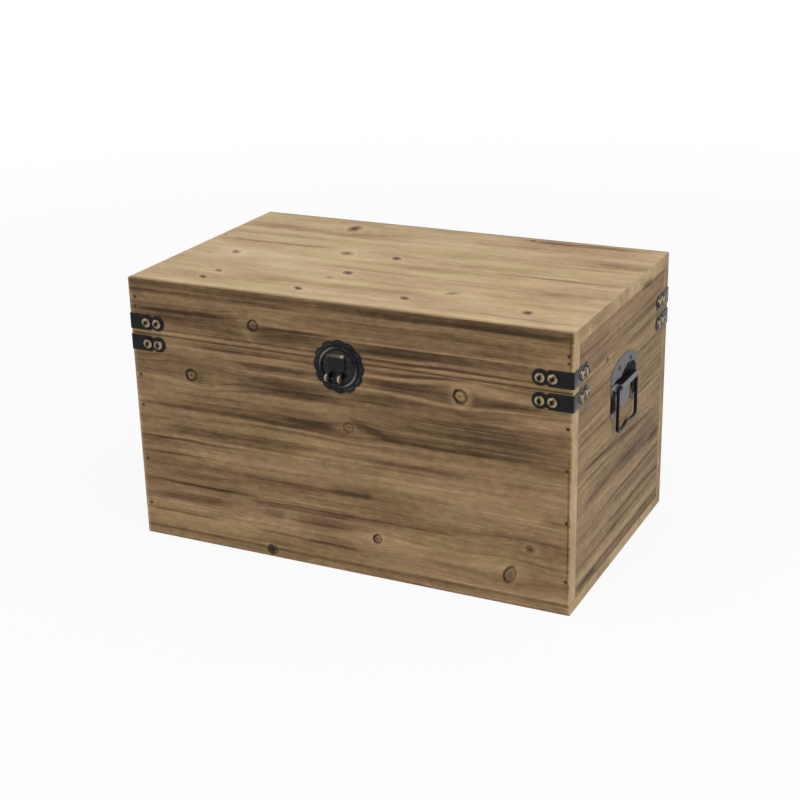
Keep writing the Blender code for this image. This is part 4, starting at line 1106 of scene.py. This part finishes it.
def add_small_screw(name, matrix, along, height, seat, body):
    """One of the small black screws of the handles and the hinges."""
    bm = start_mesh()
    screw(bm, Matrix.Translation((along, 0.0, height)), SMALL_HEAD, seat, SMALL_RECESS)
    add_piece(name + "_head", bm, "black_iron", body, name, matrix)


# Corner straps

def strap_outline():
    """The strap unrolled: distance round the corner, and height; with the corner's bend lines."""
    notch, deep = STRAP_NOTCH
    lobe_start = math.degrees(math.acos((LOBE_START - STRAP_SCREWS[0]) / STRAP_HALF))
    lobe = arc((STRAP_SCREWS[0], 0.0), STRAP_HALF, lobe_start, -lobe_start, 28)
    dip = bow((notch, STRAP_HALF), lobe[0], -deep, 6)[:-1]
    columns = [STRAP_BEND * share for share in (1.0, 0.5, 0.0, -0.5, -1.0)]
    edge = [(column, STRAP_HALF) for column in columns]
    right = dip + lobe + [(a, -b) for a, b in reversed(dip)]
    under = [(column, -STRAP_HALF) for column in reversed(columns)]
    left = mirrored(right)
    foot = len(left) + len(under) - 1
    ribs = [(foot - index, len(left) + len(under) + len(right) + index) for index in range(len(columns))]
    return left[::-1] + under + right[::-1] + edge, ribs


def wrapped(side_x, side_y, middle):
    """How the unrolled strap bends round one corner of the chest."""
    def to_point(a, b, out):
        inward, outward = -abs(a), out
        if abs(a) < STRAP_BEND:
            lean = math.radians(45) * (1 - abs(a) / STRAP_BEND)
            inward = math.sin(lean) * (STRAP_BEND + out) - STRAP_BEND
            outward = math.cos(lean) * (STRAP_BEND + out) - STRAP_BEND
        x, y = (inward, outward) if a < 0 else (outward, inward)
        return (side_x * (WIDTH / 2 + x), side_y * (DEPTH / 2 + y), middle + b)
    return to_point


def add_strap(level, word_x, word_y):
    """One bent strap with four pan-head screws, two on each leaf."""
    side_x = 1 if word_x == "right" else -1
    side_y = 1 if word_y == "back" else -1
    middle = STRAP_MIDDLES[level]
    name = "strap_" + level + "_" + word_y + "_" + word_x
    body = "lid" if level == "lid" else "chest"
    outline, ribs = strap_outline()
    bm = start_mesh()
    plate(bm, outline, [], GAP, STRAP_FACE, wrapped(side_x, side_y, middle), 0.22, ribs=ribs)
    add_piece(name + "_sheet", bm, "strap_iron", body, name)
    bm = start_mesh()
    draw = random.Random(name)
    for distance in STRAP_SCREWS:
        places = ((word_y, side_x * (WIDTH / 2 - distance)), (word_x, side_y * (DEPTH / 2 - distance)))
        for face, along in places:
            matrix = face_frame(face) @ Matrix.Translation((FACES[face][2] * along, 0.0, middle))
            matrix = matrix @ Matrix.Rotation(draw.uniform(0.0, math.pi / 2), 4, "Y")
            screw(bm, matrix, STRAP_HEAD, STRAP_FACE - 0.1, STRAP_RECESS)
    add_piece(name + "_screws", bm, "antique_brass", body, name)


# Latch

def latch_height(reach, rim, angle):
    """How far the round latch plate stands from the wood at a distance from its middle."""
    bead, half, rise = LATCH_BEAD
    middle, lift = LATCH_MIDDLE
    if reach < bead - half:
        share = clamp((reach - middle) / (bead - half - middle))
        return LATCH_FACE + lift * (1 + math.cos(math.pi * share)) / 2
    if reach < bead + half:
        return LATCH_FACE + rise * math.sqrt(max(0.0, 1 - ((reach - bead) / half) ** 2))
    lobe = math.cos(LATCH_LOBES * angle / 2) ** 2
    across = math.sin(math.pi * min(1.0, (reach - bead - half) / (rim - bead - half)))
    puff, dent = LATCH_PUFF
    return LATCH_FACE + puff * lobe ** 2 * across ** 1.5 - dent * (1 - lobe) ** 4 * across


def latch_wear_and_highlight(zone, value, angle):
    """How light the plate is painted: a painted highlight on the bead, above left and below right, painted
    sheen on the lobes, and a little wear inside the bead.
    """
    bead, half, _ = LATCH_BEAD
    # The painted highlight and sheen are brightest above left and below right
    lit_side = math.cos(angle - math.radians(LATCH_HIGHLIGHT_AT)) ** 4
    if zone == "in":
        least, more = BEAD_WEAR_AND_HIGHLIGHT
        ring = (least + more * lit_side) * max(0.0, 1.0 - abs(value - bead) / (half * 1.25))
        return max(ring, DISH_WEAR * clamp((bead - value) / half - 0.8))
    low, high = LOBE_SHEEN_SPAN
    return LOBE_SHEEN * (1.0 + lit_side) if zone == "out" and low < value < high else 0.0


def latch_disc():
    """The whole scalloped disc before it is cut in two."""
    bm = start_mesh()
    layer = bm.verts.layers.float["wear"]
    bead, half, _ = LATCH_BEAD
    outside, scallop = LATCH_REACH
    rows = [("in", reach) for reach in LATCH_RINGS]
    rows += [("in", bead + half * math.sin(math.radians(turn))) for turn in LATCH_BEAD_TURNS]
    rows += [("out", share) for share in LATCH_LOBE_SHARES] + [("rim", 1.0), ("foot", 1.0)]
    rings = []
    for zone, value in rows:
        rings.append([])
        for angle in around(value, LATCH_LOBES * 16):
            rim = outside - scallop * (1 - abs(math.cos(LATCH_LOBES * angle / 2)) ** 0.8)
            reach = value if zone == "in" else bead + half + (rim - bead - half) * value
            out = {"rim": LATCH_FACE - 0.4, "foot": GAP}.get(zone, latch_height(reach, rim, angle))
            vert = bm.verts.new((reach * math.cos(angle), -out, LATCH_Z + reach * math.sin(angle)))
            vert[layer] = latch_wear_and_highlight(zone, value, angle)
            rings[-1].append(vert)
    skin(bm, rings)
    bm.faces.new(rings[-1])
    return bm


def add_half_disc(name, height, side, body, node):
    """The part of the disc above (side 1) or below (side -1) a level."""
    bm = latch_disc()
    geometry = list(bm.verts) + list(bm.edges) + list(bm.faces)
    bmesh.ops.bisect_plane(bm, geom=geometry, plane_co=(0, 0, height), plane_no=(0, 0, side),
                           clear_inner=True)
    bmesh.ops.holes_fill(bm, edges=[edge for edge in bm.edges if edge.is_boundary], sides=0)
    add_piece(name, bm, "latch_iron", body, node, face_frame("front"))


def add_latch_plates():
    """The two halves of the round plate, the upper one with two knuckles on feet."""
    add_half_disc("latch_upper_disc", SEAM + GAP, 1, "lid", "latch_plate_upper")
    bm = start_mesh()
    outer, bore = HASP_KNUCKLE
    half = (HASP_HALF - HASP_TAB - GAP) / 2
    # Painted light: the right knuckle gets a bright painted highlight, the left one is kept darker as
    # painted shade
    for side, shine in ((-1, 0.35), (1, 0.95)):
        first = len(bm.verts)
        middle = side * (HASP_TAB + GAP + HASP_HALF) / 2
        pipe(bm, middle, HASP_OUT, HASP_Z, half, outer, bore, 0.25)
        low, high = HASP_Z - HASP_FOOT, HASP_Z + HASP_FOOT
        foot = [(middle - half, low), (middle + half, low), (middle + half, high), (middle - half, high)]
        plate(bm, foot, [], LATCH_FACE, HASP_OUT - bore - 0.2, soft=0.1)
        set_wear_and_light(bm, first, lambda place: shine)
    add_piece("latch_upper_knuckles", bm, "bright_ends", "lid", "latch_plate_upper", face_frame("front"))
    add_half_disc("latch_lower_disc", SEAM - GAP, -1, "chest", "latch_plate_lower")


def add_flap():
    """The hasp's flap with its knuckle, its dished face and the rolled lip of its tail, and the pin."""
    outer, bore = HASP_KNUCKLE
    top = HASP_Z - outer - 0.6
    tail, foot = HASP_TAIL
    right = [(HASP_TAB, HASP_Z - 0.8), (HASP_TAB, top), (HASP_HALF - 0.4, top), (HASP_HALF, top - 0.4)]
    right += arc((HASP_HALF - HASP_CORNER, HASP_SHOULDER + HASP_CORNER), HASP_CORNER, 0, -90)
    right += [(tail, HASP_SHOULDER), (tail, foot)]
    outline = [(-a, b) for a, b in right] + right[::-1]

    def dished(a, b):
        depth, border = HASP_DISH
        edge = min(HASP_HALF - abs(a), b - HASP_SHOULDER, top - b)
        return (-depth * clamp((edge - border) / border), 0.0)

    bm = start_mesh()
    plate(bm, outline, [], HASP_BACK, HASP_BACK + HASP_THICK, relief=dished, pitch=1.1)
    first = len(bm.verts)
    pipe(bm, 0.0, HASP_OUT, HASP_Z, HASP_TAB, outer, bore, 0.25)
    set_wear_and_light(bm, first, lambda place: HASP_KNUCKLE_SHINE)
    bar(bm, 0.0, HASP_BACK + HASP_LIP, foot, tail, HASP_LIP, 20)
    add_piece("hasp_flap_dressed", bm, "flap_iron", "hasp", "hasp_flap", face_frame("front"))
    bm = start_mesh()
    bar(bm, 0.0, HASP_OUT, HASP_Z, HASP_HALF + 0.4, HASP_PIN)
    add_piece("hasp_pin_bar", bm, "worn_steel", "lid", "hasp_pin", face_frame("front"))


def add_staple(word, side):
    """An ear with an eye, which stands out of the lower plate beside the flap's tail."""
    out, eye_z = EYE
    ear, eye = EYE_RADII
    turn = 180 - math.degrees(math.asin(STAPLE_NECK / ear))
    outline = [(STAPLE_SEAT, eye_z - STAPLE_NECK)] + arc(EYE, ear, -turn, turn, 36)
    outline += [(STAPLE_SEAT, eye_z + STAPLE_NECK)]

    def edgewise(a, b, level):
        return (side * STAPLE_X + level, -a, b)

    def rubbed(a, b):
        return (0.0, clamp((a - out + 3.2) / 4.5))

    bm = start_mesh()
    plate(bm, outline, [arc(EYE, eye, 0, 360, 24)[:-1]], -STAPLE_HALF, STAPLE_HALF, edgewise, relief=rubbed,
          pitch=0.8, both=True)
    add_piece("staple_" + word + "_ear", bm, "bright_ends", "chest", "staple_" + word, face_frame("front"))


def add_latch_nail(level, up, body, word, side):
    """A small nail near the rim of the round plate."""
    reach = NAIL_CIRCLE * math.sqrt(0.5)
    bm = start_mesh()
    rings = spin(bm, NAIL_HEAD, Matrix.Translation((side * reach, 0.0, LATCH_Z + up * reach)), 20)
    skin(bm, rings)
    bm.faces.new(rings[-1])
    name = "latch_nail_" + level + "_" + word
    add_piece(name + "_head", bm, "black_iron", body, name, face_frame("front"))


# Handles

def wave_line(y, stops):
    """Height of a line given by points, at y, smoothed between them."""
    if y <= stops[0][0]:
        return stops[0][1]
    for (ay, az), (by, bz) in zip(stops, stops[1:]):
        if y <= by:
            share = (y - ay) / (by - ay)
            return az + (bz - az) * share * share * (3 - 2 * share)
    return stops[-1][1]


def handle_relief_and_shade(a, b):
    """Hollows and proud faces of the stamped handle plate, about the bail's axis; the hollows, beside the
    tongue and down the legs, are painted dark as shade.
    """
    z = b - HANDLE_Z
    if z > 0:
        dark = min(wave_line(a, HOLLOW_TOP) - z, z - wave_line(a, BAND_TOP))
    else:
        dark = min(abs(a) - HANDLE_TONGUE[0] - 1.0, wave_line(a, BAND_FOOT) - z, z - HOLLOW_END)
    # Painted shade: the hollows are dark, the proud faces keep the plate's grey
    share = clamp(0.5 + dark / HOLLOW_EDGE)
    wear = ARCH_WEAR if z > ARCH_FACE else LEG_WEAR
    return (-HOLLOW_DEPTH * share, wear * (1.0 - share))


def handle_outline():
    """Outline of the handle plate: an arch over two legs and a tongue."""
    foot, low = HANDLE_FOOT
    crotch, crotch_rise = HANDLE_CROTCH
    tongue, chin, chin_rise = HANDLE_TONGUE
    arch, arch_rise = HANDLE_ARCH
    left = arc((-HANDLE_HALF + foot, low + foot), foot, 180, 360, 12)
    left += bow((-HANDLE_HALF + HANDLE_LEG, crotch), (-tongue, crotch), crotch_rise, 10)
    under = bow((-tongue, chin), (tongue, chin), chin_rise, 16)
    over = bow((HANDLE_HALF, arch), (-HANDLE_HALF, arch), arch_rise, 26)
    edge = [(-HANDLE_HALF, b) for b in HANDLE_EDGE]
    outline = left + under + mirrored(left) + mirrored(edge) + over + edge
    return [(a, HANDLE_Z + b) for a, b in outline]


def bail_route():
    """Middle line of the bail about its axis: hook, side, waved bottom, side, hook."""
    width, rise = BAIL_WAVE
    points = [(BAIL_HALF - 14.0, 0.0), (BAIL_HALF - 9.0, 0.0)]
    points += arc((BAIL_HALF - 4.0, -4.0), 4.0, 90, 0)
    points += [(BAIL_HALF, -4.0 - (BAIL_DROP - 9.0) * step / 4) for step in (1, 2, 3)]
    points += arc((BAIL_HALF - 5.0, -BAIL_DROP + 5.0), 5.0, 0, -90)
    for step in range(13):
        along = width * (0.5 - step / 24)
        points.append((along, -BAIL_DROP + rise * (1 + math.cos(2 * math.pi * along / width)) / 2))
    return points + mirrored(points[:-1])


def add_handle(face):
    """One handle: a stamped plate with a barrel, two screws and a hanging bail."""
    matrix = face_frame(face)
    along, height = HANDLE_SCREWS
    height += HANDLE_Z
    outer, bore, half = BARREL
    bm = start_mesh()
    plate(bm, handle_outline(), [hole(-along, height), hole(along, height)], GAP, HANDLE_FACE, soft=0.35,
          relief=handle_relief_and_shade, pitch=1.3)
    first = len(bm.verts)
    pipe(bm, 0.0, BAIL_OUT, HANDLE_Z, half, outer, bore, 0.4, 36)
    # The barrel's top is painted dark as shade; its lower face keeps the plate's grey
    set_wear_and_light(bm, first, lambda place: BARREL_SHINE if place.z < HANDLE_Z + BARREL_SHADE else 0.0)
    add_piece("handle_" + face + "_stamping", bm, "grey_iron", "chest", "handle_plate_" + face, matrix)
    bm = start_mesh()
    tube(bm, [(a, -BAIL_OUT, HANDLE_Z + b) for a, b in bail_route()], BAIL_RADIUS, 18)
    add_piece("bail_" + face + "_bar", bm, "black_iron", "bail_" + face, "handle_bail_" + face, matrix)
    for word, side in (("front", -1), ("back", 1)):
        name = "handle_screw_" + face + "_" + word
        add_small_screw(name, matrix, FACES[face][2] * side * along, height, HANDLE_FACE, "chest")


# Hinges

def add_hinge_leaf(level, up, body, word, centre):
    """One leaf of a hinge with its knuckles and two screws; up says which way it lies from the pin."""
    outer, bore = HINGE_KNUCKLE
    clear = outer + 0.5
    split = HINGE_TAB + GAP
    rounded = arc((HINGE_HALF - HINGE_CORNER, HINGE_LEAF - HINGE_CORNER), HINGE_CORNER, 0, 90)
    if up > 0:
        right = [(HINGE_TAB, 0.0), (HINGE_TAB, clear), (HINGE_HALF, clear)] + rounded
        spans = [(-HINGE_TAB, HINGE_TAB)]
    else:
        right = [(split, clear), (split, 0.0), (HINGE_HALF, 0.0)] + rounded
        spans = [(-HINGE_HALF, -split), (split, HINGE_HALF)]
    outline = [(centre + a, HINGE_Z + up * b) for a, b in right + mirrored(right)]
    offset, height = HINGE_SCREWS
    height = HINGE_Z + up * height
    matrix = face_frame("back")
    bm = start_mesh()
    plate(bm, outline, [hole(centre - offset, height), hole(centre + offset, height)], GAP, HINGE_FACE)
    for low, high in spans:
        pipe(bm, centre + (low + high) / 2, HINGE_OUT, HINGE_Z, (high - low) / 2, outer, bore, 0.25)
    name = "hinge_leaf_" + level + "_" + word
    add_piece(name + "_sheet", bm, "black_iron", body, name, matrix)
    for hand, side in (("left", 1), ("right", -1)):
        name = "hinge_screw_" + level + "_" + word + "_" + hand
        add_small_screw(name, matrix, centre + side * offset, height, HINGE_FACE, body)


def add_hinge(word, centre):
    """A butt hinge on the back: two leaves and a pin."""
    add_hinge_leaf("lid", 1, "lid", word, centre)
    add_hinge_leaf("body", -1, "chest", word, centre)
    bm = start_mesh()
    bar(bm, centre, HINGE_OUT, HINGE_Z, HINGE_HALF + 0.6, HINGE_PIN)
    name = "hinge_pin_" + word
    add_piece(name + "_bar", bm, "worn_steel", "chest", name, face_frame("back"))


def add_fittings():
    """Straps, latch, handles and hinges."""
    for level in STRAP_MIDDLES:
        for word_y in ("front", "back"):
            for word_x in ("left", "right"):
                add_strap(level, word_x, word_y)
    add_latch_plates()
    add_flap()
    hands = (("left", -1), ("right", 1))
    for word, side in hands:
        add_staple(word, side)
    for level, up, body in (("upper", 1, "lid"), ("lower", -1, "chest")):
        for word, side in hands:
            add_latch_nail(level, up, body, word, side)
    for face in ("right", "left"):
        add_handle(face)
    add_hinge("left", HINGE_X)
    add_hinge("right", -HINGE_X)


# Camera and studio

WORLD_LIGHT = 0.55
FLOOR_SIZE = 6.0
FLOOR_DROP = 0.0004
FLOOR_COLOUR = (0.86, 0.86, 0.86)
FLOOR_ROUGHNESS = 0.9
# The camera sees the floor glow white, and FLOOR_GLOW of that up to FLOOR_NEAR, where a shadow shows
FLOOR_NEAR = 0.9
FLOOR_FAR = 2.4
FLOOR_GLOW = 0.88
# Soft lamps: place, target, size in metres, power
LAMPS = {
    "key": ((0.6, -0.9, 2.2), (0.0, 0.0, 0.2), 1.6, 24.0),
    "right_fill": ((2.2, -0.3, 0.9), (0.0, 0.0, 0.15), 1.4, 8.0),
    "front_fill": ((-0.9, -2.2, 0.9), (0.0, 0.0, 0.15), 1.4, 6.0),
}


def add_camera():
    """The photograph's viewpoint."""
    azimuth, elevation, roll = (math.radians(v) for v in (CAMERA_AZIMUTH, CAMERA_ELEVATION, CAMERA_ROLL))
    level = math.cos(elevation)
    back = Vector((math.sin(azimuth) * level, -math.cos(azimuth) * level, math.sin(elevation)))
    right = Vector((math.cos(azimuth), math.sin(azimuth), 0.0))
    up = back.cross(right)
    rolled_right = math.cos(roll) * right + math.sin(roll) * up
    rolled_up = math.cos(roll) * up - math.sin(roll) * right
    turn = Matrix((rolled_right, rolled_up, back)).transposed()
    data = bpy.data.cameras.new("camera")
    data.lens = CAMERA_LENS
    data.sensor_width = CAMERA_SENSOR
    camera = add_object("camera", data)
    place = Vector(CAMERA_TARGET) - turn @ Vector(CAMERA_OFFSET)
    camera.matrix_world = Matrix.Translation(place) @ turn.to_4x4()
    bpy.context.scene.camera = camera


def add_lamp(name, place, target, size, power):
    """A square soft lamp that faces a point."""
    data = bpy.data.lights.new(name, "AREA")
    data.shape = "SQUARE"
    data.size = size
    data.energy = power
    lamp = add_object(name, data)
    lamp.location = place
    lamp.rotation_euler = (Vector(target) - Vector(place)).to_track_quat("-Z", "Y").to_euler()


def add_studio():
    """A pale floor, a white surround and soft lamps."""
    world = bpy.data.worlds.new("studio")
    bpy.context.scene.world = world
    world.use_nodes = True
    graph = Graph(world.node_tree)
    background = world.node_tree.nodes["Background"]
    background.inputs["Color"].default_value = (1.0, 1.0, 1.0, 1.0)
    graph.plug(graph.seen() * (1.0 - WORLD_LIGHT) + WORLD_LIGHT, background.inputs["Strength"])

    bm = bmesh.new()
    bmesh.ops.create_grid(bm, x_segments=1, y_segments=1, size=FLOOR_SIZE)
    mesh = bpy.data.meshes.new("floor")
    bm.to_mesh(mesh)
    bm.free()
    floor = add_object("floor", mesh)
    floor.location = (0.0, 0.0, CAD_BOX[0][2] - FLOOR_DROP)
    material, graph, shader = new_material("floor_white")
    graph.plug(FLOOR_COLOUR, shader.inputs["Base Color"])
    shader.inputs["Roughness"].default_value = FLOOR_ROUGHNESS
    reach = graph.vector("LENGTH", graph.coordinates("Object"), output="Value")
    share = graph.seen() * graph.span(reach, FLOOR_NEAR, FLOOR_FAR, FLOOR_GLOW, 1.0)
    glow = graph.add("ShaderNodeEmission")
    blend = graph.fill(graph.add("ShaderNodeMixShader"), (share, shader.outputs[0], glow.outputs[0]))
    graph.plug(blend, material.node_tree.nodes["Material Output"].inputs["Surface"])
    mesh.materials.append(material)
    for name, settings in LAMPS.items():
        add_lamp(name, *settings)


bpy.context.scene.view_settings.view_transform = "Standard"
dress_nodes()
add_fittings()
add_camera()
add_studio()
